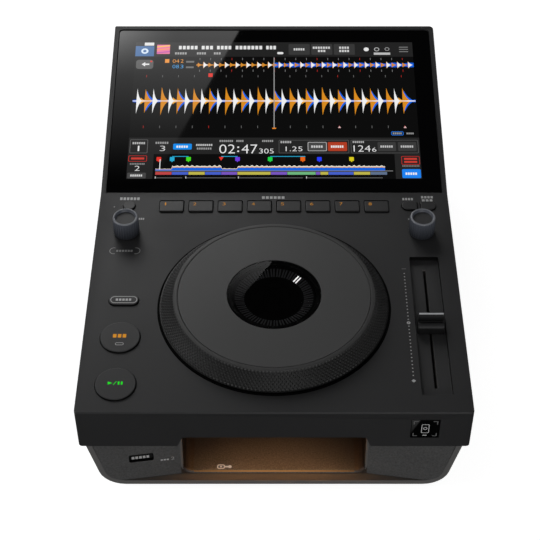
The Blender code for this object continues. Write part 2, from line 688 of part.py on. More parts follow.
def front_panel(paint, eject):
    """One moulding: two wings, a roof behind the apron, and the USB bay between them."""
    panel_low = FLOOR_Z + SEAT_GAP
    panel_top = BAY_TOP + CEILING_STEP + PANEL_WALL
    inner = base_section(BASE_WALL + SEAT_GAP, BASE_FLOOR + SEAT_GAP, BASE_TOP)
    half = inner[0][0]
    section = [(half, panel_top)] + inner + [(-half, panel_top)]
    ends = (FRONT_Y + CASE_WALL + ROOF_FRONT_GAP, BAY_BACK_Y + PANEL_WALL)
    panel = lofted("front_panel", [along_y(section, y) for y in ends], paint)

    front = FRONT_Y - OVERRUN
    low = panel_low - OVERRUN
    wedge = bmesh.new()
    stations = (-CASE_HALF, -BAY_EDGE, BAY_EDGE, CASE_HALF)
    add_loft(wedge, [
        [(x, wing_y(x, z), z) for x in stations] + [(CASE_HALF, front, z), (-CASE_HALF, front, z)]
        for z in (low, CASE_BOTTOM)
    ])
    cut(panel, wedge)

    arch = bmesh.new()
    arch_outline = cutout_outline(CASE_BOTTOM - OVERRUN)
    arch_back = wing_y(0.0, BAY_TOP) + BAY_FLARE
    add_loft(arch, [along_y(arch_outline, y) for y in (front, arch_back)])
    cut(panel, arch)

    cut(panel, bay_hollow(panel_low + BAY_LIP))

    back = BAY_BACK_Y + PANEL_WALL + OVERRUN
    high = panel_top + OVERRUN
    step_y = wing_y(0.0, high) + BAY_FLARE + PANEL_WALL
    side_x = BAY_HALF_WIDTH + PANEL_WALL
    for side in (-1, 1):
        hollow = bmesh.new()
        add_loft(hollow, [
            [
                (side * CASE_HALF, wing_y(CASE_HALF, z) + PANEL_WALL, z),
                (side * BAY_EDGE, wing_y(BAY_EDGE, z) + PANEL_WALL, z),
                (side * BAY_EDGE, step_y, z), (side * side_x, step_y, z),
                (side * side_x, back, z), (side * CASE_HALF, back, z),
            ]
            for z in (low, high)
        ])
        cut(panel, hollow)
        above = bmesh.new()
        inner_x = side * (CUTOUT_HALF_WIDTH + CUTOUT_BLEND + PANEL_WALL)
        outer_x = side * CASE_HALF
        low_z = CASE_BOTTOM + PANEL_WALL
        add_box(above, (min(inner_x, outer_x), front, low_z), (max(inner_x, outer_x), back, high))
        cut(panel, above)

    slot = bmesh.new()
    usb_x, usb_z = usb_middle()
    half_x = USB_BODY[0] / 2 + SEAT_GAP
    half_z = USB_BODY[2] / 2 + SEAT_GAP
    add_box(
        slot,
        (usb_x - half_x, BAY_BACK_Y - OVERRUN, usb_z - half_z),
        (usb_x + half_x, back, usb_z + half_z),
    )
    cut(panel, slot)
    window = bmesh.new()
    add_loft(window, [key_outline(eject, BUTTON_GAP, height) for height in (-2 * PANEL_WALL, OVERRUN)])
    place, turn = eject_frame()
    cut(panel, window, place, turn)


def bay_section(grow, floor):
    """The bay across its width: upright sides, round lower corners and a flat ceiling."""
    half = BAY_HALF_WIDTH + grow
    radius = BAY_CORNER + grow
    low = floor - grow
    right = [(half, BAY_TOP + CEILING_STEP)]
    for k in range(ARC_STEPS + 1):
        angle = -math.pi / 2 * k / ARC_STEPS
        right.append((half - radius + radius * math.cos(angle), low + radius + radius * math.sin(angle)))
    return right + [(-x, z) for x, z in reversed(right)]


def bay_hollow(floor):
    """The space of the bay, its mouth opened out by a round edge that leans with the wings."""
    loops = [[(x, FRONT_Y - OVERRUN, z) for x, z in bay_section(BAY_FLARE, floor)]]
    for k in range(CORNER_STEPS + 1):
        angle = math.pi / 2 * k / CORNER_STEPS
        grow = BAY_FLARE * (1 - math.sin(angle))
        back = BAY_FLARE * (1 - math.cos(angle))
        loops.append([(x, wing_y(0.0, z) + back, z) for x, z in bay_section(grow, floor)])
    loops.append([(x, BAY_BACK_Y, z) for x, z in bay_section(0.0, floor)])
    shape = bmesh.new()
    add_loft(shape, loops)
    return shape


def usb_middle():
    """The middle of the USB socket on the bay's back wall, as (x, z)."""
    return USB_OFFSET, FLOOR_Z + USB_HEIGHT


def bay_parts(metal, lamp):
    """The USB socket behind the bay's back wall and the light bar under its ceiling."""
    usb_x, usb_z = usb_middle()
    body = [half / 2 for half in USB_BODY]
    mouth = [half / 2 for half in USB_MOUTH]
    outer = [(-body[0], -body[2]), (body[0], -body[2]), (body[0], body[2]), (-body[0], body[2])]
    inner = [(-mouth[0], -mouth[2]), (mouth[0], -mouth[2]), (mouth[0], mouth[2]), (-mouth[0], mouth[2])]
    loops = [
        along_y(outer, USB_BODY[1]), along_y(outer, 0.0), along_y(inner, 0.0), along_y(inner, USB_MOUTH[1]),
    ]
    lofted("usb_socket", loops, metal, (usb_x, BAY_BACK_Y, usb_z))
    light_y = wing_y(0.0, BAY_TOP) + LIGHT_BACK
    light_top = BAY_TOP + CEILING_STEP - SEAT_GAP
    boxed(
        "bay_light",
        (-LIGHT_LENGTH / 2, light_y, light_top - LIGHT_HEIGHT),
        (LIGHT_LENGTH / 2, light_y + LIGHT_WIDTH, light_top),
        lamp,
    )


def eject_frame():
    """The eject key's place on the left wing and the turn that points its Z out of the wing."""
    z = FLOOR_Z + EJECT_UP
    place = Vector((-EJECT_OUT, wing_y(EJECT_OUT, z), z))
    outward = Vector((WING_SWEEP, -1.0, WING_LEAN)).normalized()
    along = Vector((1.0, WING_SWEEP, 0.0)).normalized()
    upward = outward.cross(along)
    frame = Matrix((along, upward, outward)).transposed()
    return place, frame.to_euler()


# Screen

def screen_parts(glass, metal, frame_metal):
    """The touch glass, the LCD behind it and the pan that holds both, in the tilted frame."""
    place = (0.0, CREASE_Y, DECK_Z)
    turn = (SCREEN_TILT, 0.0, 0.0)
    middle = (0.0, GLASS_MIDDLE)
    radii = (SCREEN_CORNER, SCREEN_CORNER, KEY_EDGE, KEY_EDGE)
    lofted("touch_glass", [
        rounded(GLASS_HALF, GLASS_HALF_DEPTH, radii, height, middle) for height in (GLASS_UNDER, -GLASS_DROP)
    ], glass, place, turn)
    lcd_low = LCD_TOP - LCD_THICKNESS
    lofted("lcd_module", [
        rounded(LCD_HALF, LCD_HALF_DEPTH, KEY_EDGE, height, middle) for height in (lcd_low, LCD_TOP)
    ], metal, place, turn)
    pan_floor = lcd_low - SEAT_GAP
    pan_rim = -SCREEN_WALL - SEAT_GAP
    inner = (LCD_HALF + SEAT_GAP, LCD_HALF_DEPTH + SEAT_GAP)
    outer = (inner[0] + BRACKET_LAP, inner[1] + BRACKET_LAP)
    lofted("display_bracket", [
        rounded(*outer, KEY_EDGE, pan_floor - BRACKET_THICKNESS, middle),
        rounded(*outer, KEY_EDGE, pan_rim, middle),
        rounded(*inner, KEY_EDGE, pan_rim, middle),
        rounded(*inner, KEY_EDGE, pan_floor, middle),
    ], frame_metal, place, turn)


# Jog wheel: profiles are (radius, height above the deck)

def jog_parts(paints):
    """The turning ring, plate and code disc, and the fixed dish, post, bush, display, window and sensor."""
    place = (0.0, JOG_Y, DECK_Z)
    dish_floor = -JOG_BASE_DEPTH + JOG_BASE_FLOOR
    dish_inner = JOG_WALL_RADIUS - JOG_BASE_WALL
    turned("jog_base", [
        (JOG_WALL_RADIUS, -JOG_BASE_DEPTH), (JOG_WALL_RADIUS, SEAT_GAP), (JOG_BASE_RADIUS, SEAT_GAP),
        (JOG_BASE_RADIUS, JOG_BASE_RISE), (dish_inner, JOG_BASE_RISE), (dish_inner, dish_floor),
    ], paints["black"], place, JOG_SEGMENTS)

    post_radius = JOG_WINDOW_RADIUS
    cup_radius = post_radius - JOG_CUP_WALL
    bore_radius = post_radius - JOG_POST_WALL
    post_foot = dish_floor + SEAT_GAP
    flange_top = post_foot + JOG_BASE_FLOOR
    window_low = JOG_HEIGHT - JOG_WINDOW_SINK - JOG_WINDOW_THICKNESS
    display_top = JOG_HEIGHT - JOG_DISPLAY_DROP
    cup_floor = display_top - JOG_DISPLAY_THICKNESS - SEAT_GAP
    turned("jog_post", [
        (bore_radius, cup_floor - JOG_BASE_FLOOR), (bore_radius, post_foot),
        (post_radius + JOG_POST_FLANGE, post_foot), (post_radius + JOG_POST_FLANGE, flange_top),
        (post_radius, flange_top), (post_radius, window_low - SEAT_GAP),
        (cup_radius, window_low - SEAT_GAP), (cup_radius, cup_floor),
    ], paints["black"], place, INNER_SEGMENTS)
    turned("jog_display", [
        (cup_radius - SEAT_GAP, display_top - JOG_DISPLAY_THICKNESS), (cup_radius - SEAT_GAP, display_top),
    ], paints["display"], place, INNER_SEGMENTS)
    turned("jog_window", [
        (post_radius, window_low), (post_radius, window_low + JOG_WINDOW_THICKNESS),
    ], paints["glass"], place, JOG_SEGMENTS)

    bush_inner = post_radius + SEAT_GAP
    bush_outer = bush_inner + JOG_BUSH_WALL
    hub_inner = bush_outer + RUNNING_GAP
    hub_outer = hub_inner + JOG_HUB_WALL
    ring_low = JOG_BASE_RISE + RUNNING_GAP
    web_top = ring_low + SEAT_GAP + JOG_WEB_THICKNESS
    hub_foot = -(JOG_BASE_DEPTH - JOG_BASE_FLOOR) + HUB_CLEARANCE
    skirt = JOG_BASE_RADIUS - JOG_SKIRT_INSET
    band_inner = JOG_SHOULDER_RADIUS - JOG_BAND
    plate_low = JOG_HEIGHT - JOG_PLATE_THICKNESS
    ledge = plate_low - SEAT_GAP
    ledge_inner = band_inner - JOG_LEDGE
    slope = (skirt - JOG_SHOULDER_RADIUS) / (JOG_HEIGHT - ring_low)
    pocket_top = ledge - JOG_RING_WALL
    wall_across = JOG_RING_WALL * math.hypot(1.0, slope)
    turned("jog_ring", [
        (skirt, ring_low), (skirt - KEY_EDGE, ring_low + 2 * KEY_EDGE),
        (JOG_SHOULDER_RADIUS, JOG_HEIGHT - KEY_EDGE), (JOG_SHOULDER_RADIUS - KEY_EDGE, JOG_HEIGHT),
        (band_inner, JOG_HEIGHT), (band_inner, ledge), (ledge_inner, ledge), (ledge_inner, web_top),
        (hub_inner, web_top), (hub_inner, hub_foot), (hub_outer, hub_foot), (hub_outer, ring_low + SEAT_GAP),
        (ledge_inner + JOG_RING_WALL, ring_low + SEAT_GAP), (ledge_inner + JOG_RING_WALL, pocket_top),
        (skirt - wall_across - slope * (pocket_top - ring_low), pocket_top), (skirt - wall_across, ring_low),
    ], paints["rubber"], place, JOG_SEGMENTS, ring=True)
    turned("jog_plate", [
        (post_radius + RUNNING_GAP, plate_low), (band_inner - SEAT_GAP, plate_low),
        (band_inner - SEAT_GAP, JOG_HEIGHT), (post_radius + RUNNING_GAP, JOG_HEIGHT),
    ], paints["plate"], place, JOG_SEGMENTS, ring=True)
    turned("jog_bush", [
        (bush_inner, flange_top + SEAT_GAP), (bush_outer, flange_top + SEAT_GAP),
        (bush_outer, web_top - SEAT_GAP), (bush_inner, web_top - SEAT_GAP),
    ], paints["white"], place, INNER_SEGMENTS, ring=True)
    disc_inner = hub_outer + SEAT_GAP
    disc_outer = disc_inner + CODE_DISC_WIDTH
    turned("jog_code_disc", [
        (disc_inner, hub_foot), (disc_outer, hub_foot),
        (disc_outer, hub_foot + CODE_DISC_THICKNESS), (disc_inner, hub_foot + CODE_DISC_THICKNESS),
    ], paints["black"], place, INNER_SEGMENTS, ring=True)
    sensor_x = disc_outer - SENSOR_LENGTH / 2
    boxed(
        "jog_sensor",
        (sensor_x - SENSOR_LENGTH / 2, -SENSOR_WIDTH / 2, dish_floor + SEAT_GAP),
        (sensor_x + SENSOR_LENGTH / 2, SENSOR_WIDTH / 2, hub_foot - SENSOR_GAP),
        paints["black"], place,
    )


# Knobs

def knob_set(label, x, paints):
    """A push-and-turn knob: cap, shaft, the plunger under it and the encoder body on the control board."""
    place = (x, KNOB_Y, DECK_Z)
    bore = SHAFT_RADIUS + SEAT_GAP
    crown_low = KNOB_TOP - KNOB_DISH_DEPTH - KNOB_CROWN
    turned(f"{label}_knob", [
        (bore, crown_low), (bore, KNOB_FOOT), (KNOB_FOOT_RADIUS, KNOB_FOOT),
        (KNOB_TOP_RADIUS, KNOB_TOP - KNOB_ROUND), (KNOB_TOP_RADIUS - KNOB_ROUND, KNOB_TOP),
        (KNOB_DISH_RADIUS, KNOB_TOP), (KNOB_DISH_RADIUS - KEY_EDGE, KNOB_TOP - KNOB_DISH_DEPTH),
    ], paints["knob"], place)
    plunger_low = -CONTROL_BOARD_DROP + KNOB_PUSH + SEAT_GAP
    shaft_low = plunger_low + PLUNGER_HEIGHT + SEAT_GAP
    turned(f"{label}_shaft", [
        (SHAFT_RADIUS, shaft_low), (SHAFT_RADIUS, crown_low - SEAT_GAP),
    ], paints["metal"], place, SMALL_SEGMENTS)
    turned(f"{label}_plunger", [
        (SHAFT_RADIUS, plunger_low), (SHAFT_RADIUS, plunger_low + PLUNGER_HEIGHT),
    ], paints["black"], place, SMALL_SEGMENTS)
    half = ENCODER_WIDTH / 2
    low = -CONTROL_BOARD_DROP + SEAT_GAP
    body = boxed(
        f"{label}_encoder", (-half, -half, low), (half, half, low + ENCODER_HEIGHT), paints["metal"], place,
    )
    bore_hole = bmesh.new()
    add_loft(bore_hole, [
        circle(SHAFT_RADIUS + RUNNING_GAP, height, SMALL_SEGMENTS)
        for height in (low - OVERRUN, low + ENCODER_HEIGHT + OVERRUN)
    ])
    cut(body, bore_hole, place)


# Tempo fader

def tempo_fader(paints):
    """The sunk tray with its slot, the fader body below, and the lever and cap that slide along it."""
    place = (FADER_X, FADER_Y, DECK_Z)
    tray_low = -FADER_TRAY_DEPTH - FADER_TRAY_FLOOR
    inner = (FADER_TRAY_WIDTH / 2, TRAY_HALF)
    outer = (inner[0] + FADER_TRAY_FLANGE, inner[1] + FADER_TRAY_FLANGE)
    tray = lofted("fader_tray", [
        rounded(*outer, FADER_TRAY_CORNER, tray_low),
        rounded(*outer, FADER_TRAY_CORNER, -CASE_WALL - SEAT_GAP),
        rounded(*inner, FADER_TRAY_CORNER, -CASE_WALL - SEAT_GAP),
        rounded(*inner, FADER_TRAY_CORNER, -FADER_TRAY_DEPTH),
    ], paints["tray"], place)
    slot = bmesh.new()
    slot_x = FADER_SLOT_WIDTH / 2
    add_box(slot, (-slot_x, -SLOT_HALF, tray_low - OVERRUN), (slot_x, SLOT_HALF, OVERRUN))
    cut(tray, slot, place)

    body_top = tray_low - SEAT_GAP
    body_low = body_top - FADER_BODY_HEIGHT
    groove_low = body_low + FADER_BODY_FLOOR
    half_y = SLOT_HALF + FADER_BODY_END
    body = boxed(
        "fader_body",
        (-FADER_BODY_WIDTH / 2, -half_y, body_low), (FADER_BODY_WIDTH / 2, half_y, body_top),
        paints["metal"], place,
    )
    groove = bmesh.new()
    add_box(groove, (-slot_x, -SLOT_HALF, groove_low), (slot_x, SLOT_HALF, body_top + OVERRUN))
    cut(body, groove, place)

    cap_low = -FADER_TRAY_DEPTH + RUNNING_GAP
    socket_top = cap_low + FADER_SOCKET_DEPTH
    boxed(
        "tempo_lever",
        (-FADER_LEVER_WIDTH / 2, -FADER_LEVER_LENGTH / 2, groove_low + SEAT_GAP),
        (FADER_LEVER_WIDTH / 2, FADER_LEVER_LENGTH / 2, socket_top - SEAT_GAP),
        paints["metal"], place,
    )
    skirt_top = cap_low + FADER_CAP_SKIRT
    half_length = FADER_CAP_LENGTH / 2
    fin = FADER_CAP_FIN / 2
    right = [(half_length, cap_low), (half_length, cap_low + FADER_CAP_LIP)]
    for k in range(ARC_STEPS + 1):
        angle = math.pi / 2 * k / ARC_STEPS
        right.append((
            fin + FADER_CAP_VALLEY * (1 - math.sin(angle)),
            skirt_top + FADER_CAP_VALLEY * (1 - math.cos(angle)),
        ))
    right += [(fin, FADER_CAP_TOP - KEY_EDGE), (fin - KEY_EDGE, FADER_CAP_TOP)]
    section = right + [(-y, z) for y, z in reversed(right)]
    cap = lofted(
        "tempo_cap", [along_x(section, x) for x in (-FADER_CAP_WIDTH / 2, FADER_CAP_WIDTH / 2)],
        paints["key"], place,
    )
    socket = bmesh.new()
    socket_x = FADER_LEVER_WIDTH / 2 + SEAT_GAP
    socket_y = FADER_LEVER_LENGTH / 2 + SEAT_GAP
    add_box(socket, (-socket_x, -socket_y, cap_low - OVERRUN), (socket_x, socket_y, socket_top))
    cut(cap, socket, place)


# Boards and supply

def control_board(paint, keys):
    """The board under the deck, with a switch under each key and holes for the jog and the fader."""
    half_x = CASE_HALF - CASE_WALL - BOARD_MARGIN
    top = DECK_Z - CONTROL_BOARD_DROP
    low = top - BOARD_THICKNESS
    board = boxed(
        "control_board",
        (-half_x, FRONT_Y + CASE_WALL + BOARD_MARGIN, low), (half_x, CREASE_Y - BOARD_MARGIN, top), paint,
    )
    switches = bmesh.new()
    half = SWITCH_SIDE / 2
    for key in keys:
        add_box(
            switches,
            (key["x"] - half, key["y"] - half, top - BOARD_THICKNESS / 2),
            (key["x"] + half, key["y"] + half, top + SWITCH_HEIGHT),
        )
    join(board, switches)
    holes = bmesh.new()
    add_loft(holes, [
        circle(JOG_WALL_RADIUS + BOARD_MARGIN / 2, height, JOG_SEGMENTS, (0.0, JOG_Y))
        for height in (low - OVERRUN, top + OVERRUN)
    ])
    hole_x = FADER_BODY_WIDTH / 2 + BUTTON_GAP
    hole_y = SLOT_HALF + FADER_BODY_END + BUTTON_GAP
    add_box(
        holes,
        (FADER_X - hole_x, FADER_Y - hole_y, low - OVERRUN),
        (FADER_X + hole_x, FADER_Y + hole_y, top + OVERRUN),
    )
    cut(board, holes)


def main_board_corners():
    """The main board's low and high corners."""
    front = BAY_BACK_Y + PANEL_WALL + MAIN_BOARD_FRONT_GAP
    rear = BASE_REAR_Y - BASE_REAR_WALL - BOARD_MARGIN
    return (MAIN_BOARD_LEFT, front, MAIN_BOARD_Z), (MAIN_BOARD_LEFT + MAIN_BOARD_WIDTH, rear, BOARD_TOP)


def boards_and_supply(board_paint, supply_paint):
    """The main board with its chips, and the caged power supply ahead of the mains inlet."""
    low, high = main_board_corners()
    board = boxed("main_board", low, high, board_paint)
    chips = bmesh.new()
    length = high[1] - low[1]
    for x_share, y_share, size, height in CHIP_SHARES:
        x = low[0] + x_share * MAIN_BOARD_WIDTH
        y = low[1] + y_share * length
        half = size * MAIN_BOARD_WIDTH
        add_box(
            chips, (x - half, y - half, MAIN_BOARD_Z + BOARD_THICKNESS / 2),
            (x + half, y + half, BOARD_TOP + height * MAIN_BOARD_WIDTH),
        )
    join(board, chips)
    left = high[0] + SUPPLY_GAP
    rear = BASE_REAR_Y - BASE_REAR_WALL - INLET_BODY[1] - SUPPLY_GAP
    floor = FLOOR_Z + SEAT_GAP
    boxed(
        "power_supply",
        (left, rear - SUPPLY_SIZE[1], floor),
        (left + SUPPLY_SIZE[0], rear, floor + SUPPLY_SIZE[2]),
        supply_paint,
    )


# Rear sockets: each is made along its own Z, which points out of the rear wall

def socket_place(x, height):
    """A place on the rear wall for a socket whose body of this height stands on the main board."""
    return (x, BASE_REAR_Y, BOARD_TOP + SEAT_GAP + height / 2)


def rear_layout():
    """Each rear socket's outline through the wall, its place, and the gap around it."""
    layout = []
    for k, name in enumerate(("phono_left", "phono_right", "digital_socket")):
        place = socket_place(PHONO_LEFT_X + k * PHONO_PITCH, PHONO_BODY)
        layout.append((outline(name, PHONO_RADIUS, PHONO_RADIUS, None), place, SEAT_GAP))
    square = (KEY_EDGE,) * 4
    network = outline("network_socket", NETWORK_BODY[0] / 2, NETWORK_BODY[2] / 2, square)
    layout.append((network, socket_place(NETWORK_X, NETWORK_BODY[2]), SEAT_GAP))
    inlet = outline("power_inlet", INLET_BODY[0] / 2, INLET_BODY[2] / 2, square)
    layout.append((inlet, (INLET_X, BASE_REAR_Y, FLOOR_Z + INLET_RISE), SEAT_GAP))
    power = outline("power_button", POWER_RADIUS, POWER_RADIUS, None)
    layout.append((power, (POWER_X, BASE_REAR_Y, FLOOR_Z + INLET_RISE), BUTTON_GAP))
    return layout


def rear_holes():
    """The holes of the rear wall, as pairs of a shape and its place."""
    holes = []
    for socket, place, gap in rear_layout():
        shape = bmesh.new()
        add_loft(shape, [key_outline(socket, gap, z) for z in (-BASE_REAR_WALL - OVERRUN, OVERRUN)])
        holes.append((shape, place))
    return holes


def rear_sockets(paints):
    """The phono, digital and network sockets, the mains inlet with its pins, and the power button."""
    places = {socket["name"]: place for socket, place, _ in rear_layout()}
    turn = (-math.pi / 2, 0.0, 0.0)
    inner_face = -BASE_REAR_WALL - SEAT_GAP
    half = PHONO_BODY / 2
    for name, paint in (("phono_left", "white"), ("phono_right", "red"), ("digital_socket", "metal")):
        lofted(name, [
            rounded(half, half, KEY_EDGE, inner_face - PHONO_BODY),
            rounded(half, half, KEY_EDGE, inner_face),
            circle(PHONO_RADIUS, inner_face, SMALL_SEGMENTS),
            circle(PHONO_RADIUS, PHONO_LENGTH, SMALL_SEGMENTS),
            circle(PHONO_HOLE_RADIUS, PHONO_LENGTH, SMALL_SEGMENTS),
            circle(PHONO_HOLE_RADIUS, inner_face, SMALL_SEGMENTS),
        ], paints[paint], places[name], turn)
    lofted("network_socket", [
        rounded(NETWORK_BODY[0] / 2, NETWORK_BODY[2] / 2, KEY_EDGE, -NETWORK_BODY[1]),
        rounded(NETWORK_BODY[0] / 2, NETWORK_BODY[2] / 2, KEY_EDGE, 0.0),
        rounded(NETWORK_MOUTH[0] / 2, NETWORK_MOUTH[2] / 2, KEY_EDGE, 0.0),
        rounded(NETWORK_MOUTH[0] / 2, NETWORK_MOUTH[2] / 2, KEY_EDGE, -NETWORK_MOUTH[1]),
    ], paints["metal"], places["network_socket"], turn)
    inlet = lofted("power_inlet", [
        rounded(INLET_BODY[0] / 2, INLET_BODY[2] / 2, KEY_EDGE, -INLET_BODY[1]),
        rounded(INLET_BODY[0] / 2, INLET_BODY[2] / 2, KEY_EDGE, 0.0),
        rounded(INLET_MOUTH[0] / 2, INLET_MOUTH[2] / 2, INLET_CORNER, 0.0),
        rounded(INLET_MOUTH[0] / 2, INLET_MOUTH[2] / 2, INLET_CORNER, -INLET_MOUTH[1]),
    ], paints["black"], places["power_inlet"], turn)
    pins = bmesh.new()
    for x, down in ((-INLET_PIN_SPACE, 1), (INLET_PIN_SPACE, 1), (0.0, -1)):
        y = down * INLET_PIN_DROP
        add_box(
            pins,
            (x - INLET_PIN[0] / 2, y - INLET_PIN[2] / 2, -INLET_MOUTH[1] - INLET_PIN[0]),
            (x + INLET_PIN[0] / 2, y + INLET_PIN[2] / 2, INLET_PIN[1] - INLET_MOUTH[1]),
        )
    join(inlet, pins, places["power_inlet"], turn)
    power = outline("power_button", POWER_RADIUS, POWER_RADIUS, None)
    key_solid(power, paints["key"], POWER_RISE, BASE_REAR_WALL, -POWER_LENGTH, places["power_button"], turn)


# The player

def main():
    for old in list(bpy.data.objects):
        bpy.data.objects.remove(old, do_unlink=True)
    paints = {
        "case": finish("satin_case", (0.052, 0.052, 0.053), 0.42),
        "base": finish("base_shell", (0.045, 0.045, 0.046), 0.45),
        "panel": finish("grained_panel", (0.050, 0.049, 0.048), 0.62),
        "key": finish("key_plastic", (0.046, 0.046, 0.047), 0.40),
        "knob": finish("knob_rubber", (0.030, 0.033, 0.038), 0.38),
        "rubber": finish("jog_grip", (0.028, 0.028, 0.028), 0.50),
        "plate": finish("jog_face", (0.060, 0.060, 0.060), 0.45),
        "black": finish("black_plastic", (0.012, 0.012, 0.012), 0.40),
        "tray": finish("fader_tray", (0.030, 0.030, 0.030), 0.50),
        "glass": finish("dark_glass", (0.006, 0.006, 0.007), 0.05),
        "display": finish("round_display", (0.010, 0.010, 0.011), 0.30),
        "metal": finish("tinned_steel", (0.520, 0.520, 0.510), 0.35, 1.0),
        "board": finish("green_board", (0.020, 0.090, 0.045), 0.50),
        "supply": finish("supply_cage", (0.480, 0.480, 0.470), 0.40, 1.0),
        "white": finish("white_plastic", (0.700, 0.700, 0.680), 0.45),
        "red": finish("red_plastic", (0.500, 0.030, 0.025), 0.45),
        "foot": finish("foot_rubber", (0.020, 0.020, 0.020), 0.80),
        "lamp": finish("amber_lamp", (0.900, 0.450, 0.120), 0.50),
    }
    keys = deck_keys()
    eject = outline("eject_button", EJECT_LENGTH / 2, EJECT_WIDTH / 2, (EJECT_CORNER,) * 4)
    top_case(paints["case"], keys)
    bottom_case(paints["base"], rear_holes())
    feet(paints["foot"])
    front_panel(paints["panel"], eject)
    bay_parts(paints["metal"], paints["lamp"])
    place, turn = eject_frame()
    key_solid(eject, paints["key"], -EJECT_SINK, PANEL_WALL, -EJECT_LENGTH / 2, place, turn)
    screen_parts(paints["glass"], paints["metal"], paints["supply"])
    jog_parts(paints)
    for key in keys:
        stem_end = -SWITCH_TOP + key["travel"] + SEAT_GAP
        key_solid(key, paints["key"], KEY_RISE, CASE_WALL, stem_end, (key["x"], key["y"], DECK_Z))
    knob_set("loop", -KNOB_X, paints)
    knob_set("browse", KNOB_X, paints)
    tempo_fader(paints)
    tile_half = TILE_SIDE / 2
    lofted("phone_tile", [
        rounded(tile_half, tile_half, TILE_CORNER, height) for height in (-TILE_THICKNESS, 0.0)
    ], paints["glass"], tile_place(), (math.pi / 2, 0.0, 0.0))
    control_board(paints["board"], keys)
    boards_and_supply(paints["board"], paints["supply"])
    rear_sockets(paints)


main()
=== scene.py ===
"""A tabletop disc-jockey player, dressed over its CAD frame: plastics, prints, lit screen, wheel and studio.

The file is laid out as an add-on: a property group for each kind of size and colour, an operator
for each group of pieces, and a panel that lists them. Run as a script, it builds the whole scene.
"""

import math

import bmesh
import bpy
import numpy as np
from bpy.props import FloatProperty, FloatVectorProperty, IntProperty, PointerProperty
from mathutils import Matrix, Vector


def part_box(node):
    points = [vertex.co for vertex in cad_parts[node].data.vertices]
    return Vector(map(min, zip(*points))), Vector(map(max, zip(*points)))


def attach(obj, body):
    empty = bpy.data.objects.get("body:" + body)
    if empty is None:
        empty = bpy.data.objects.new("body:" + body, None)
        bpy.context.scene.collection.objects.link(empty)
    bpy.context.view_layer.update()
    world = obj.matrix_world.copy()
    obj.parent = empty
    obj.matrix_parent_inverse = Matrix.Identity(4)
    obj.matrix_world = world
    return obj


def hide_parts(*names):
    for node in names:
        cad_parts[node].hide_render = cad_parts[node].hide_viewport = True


bl_info = {
    "name": "Disc-Jockey Player Looks",
    "version": (1, 0, 0),
    "blender": (4, 5, 0),
    "location": "3D View > Sidebar > Player",
    "description": "Dresses the frame of a tabletop player with its surfaces, prints, lit screen and studio",
    "category": "Object",
}

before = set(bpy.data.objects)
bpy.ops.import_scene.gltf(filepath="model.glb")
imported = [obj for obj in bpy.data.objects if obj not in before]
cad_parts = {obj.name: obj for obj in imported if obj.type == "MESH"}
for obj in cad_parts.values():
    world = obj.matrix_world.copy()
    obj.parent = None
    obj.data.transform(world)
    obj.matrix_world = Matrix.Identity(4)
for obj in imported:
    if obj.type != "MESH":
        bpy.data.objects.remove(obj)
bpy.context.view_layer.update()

# Units and fineness
MM = 0.001
TURN = 2 * math.pi
DEGREE = math.pi / 180
ROUND = 96
CORNER_STEPS = 6
LAYER = 0.012 * MM
SINK = 0.010 * MM
SOCKET_EDGE = 0.12 * MM
MERGE = 0.001 * MM
SMOOTH_BELOW = 32
FULL = (1.0, 1.0, 1.0, 1.0)


# Places that the frame gives

def corners(node):
    """The lowest and highest corner of a node, as arrays."""
    low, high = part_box(node)
    return np.array(low), np.array(high)


def middle(node):
    """The middle of a node's box."""
    return sum(corners(node)) / 2


def face_places(mesh):
    """The centre and the normal of each face of a mesh, as arrays."""
    centres, normals = (np.empty(3 * len(mesh.polygons)) for _ in range(2))
    mesh.polygons.foreach_get("center", centres)
    mesh.polygons.foreach_get("normal", normals)
    return centres.reshape(-1, 3), normals.reshape(-1, 3)


def facing(node, direction):
    """The normal of a node's flat that faces a direction and lies furthest that way, and a point of it."""
    centres, normals = face_places(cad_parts[node].data)
    reach = np.where(normals @ direction > 0.99, (centres * normals).sum(1), -1.0)
    return normals[reach.argmax()], centres[reach.argmax()]


def linear(red, green, blue):
    """A colour given as 0 to 255 on screen, turned to the linear shares that materials take."""
    share = np.array([red, green, blue]) / 255
    return tuple(np.where(share > 0.04045, ((share + 0.055) / 1.055) ** 2.4, share / 12.92).tolist())


def tint(red, green, blue):
    """A colour given as 0 to 255 on screen, as an opaque ink."""
    return (*linear(red, green, blue), 1.0)


JOG_BASE_RISE = 0.7 * MM
DECK_LENGTH = 203.9 * MM
GLASS_DROP = 0.9 * MM
SCREEN_TILT = 10.16 * DEGREE
FRONT = corners("top_case")[0][1]
DECK = corners("jog_base")[1][2] - JOG_BASE_RISE
CREASE = FRONT + DECK_LENGTH
BAY_HALF, BAY_EDGE, BAY_FLAT, BAY_ROUND, BAY_BACK, BAY_FLOOR = 60.9, 62.6, 54.6, 60.0, 119.0, 10.9
ON_DECK = np.array([0.0, 0.0, DECK])
JOG = middle("jog_ring") * (1, 1, 0) + ON_DECK
PADS = [f"hot_cue_pad_{number}" for number in range(1, 9)]
GAP = 0.3 * MM
KEYS = PADS + [f"{name}_button" for name in ("delete", "back", "tag", "shift", "cue", "play")]


# Settings that a user may change

def colour(name, description, default):
    """A colour setting, its default given as 0 to 255 on screen."""
    return FloatVectorProperty(
        name=name, description=description, subtype="COLOR", min=0.0, max=1.0, default=linear(*default),
    )


def length(name, description, default):
    """A length setting, its default given in millimetres."""
    return FloatProperty(name=name, description=description, unit="LENGTH", min=0.0, default=default * MM)


def amount(name, description, default, low=0.0, high=100.0):
    """A plain number setting."""
    return FloatProperty(name=name, description=description, min=low, max=high, default=default)


def count_of(name, description, default, low, high):
    """A setting that counts something."""
    return IntProperty(name=name, description=description, min=low, max=high, default=default)


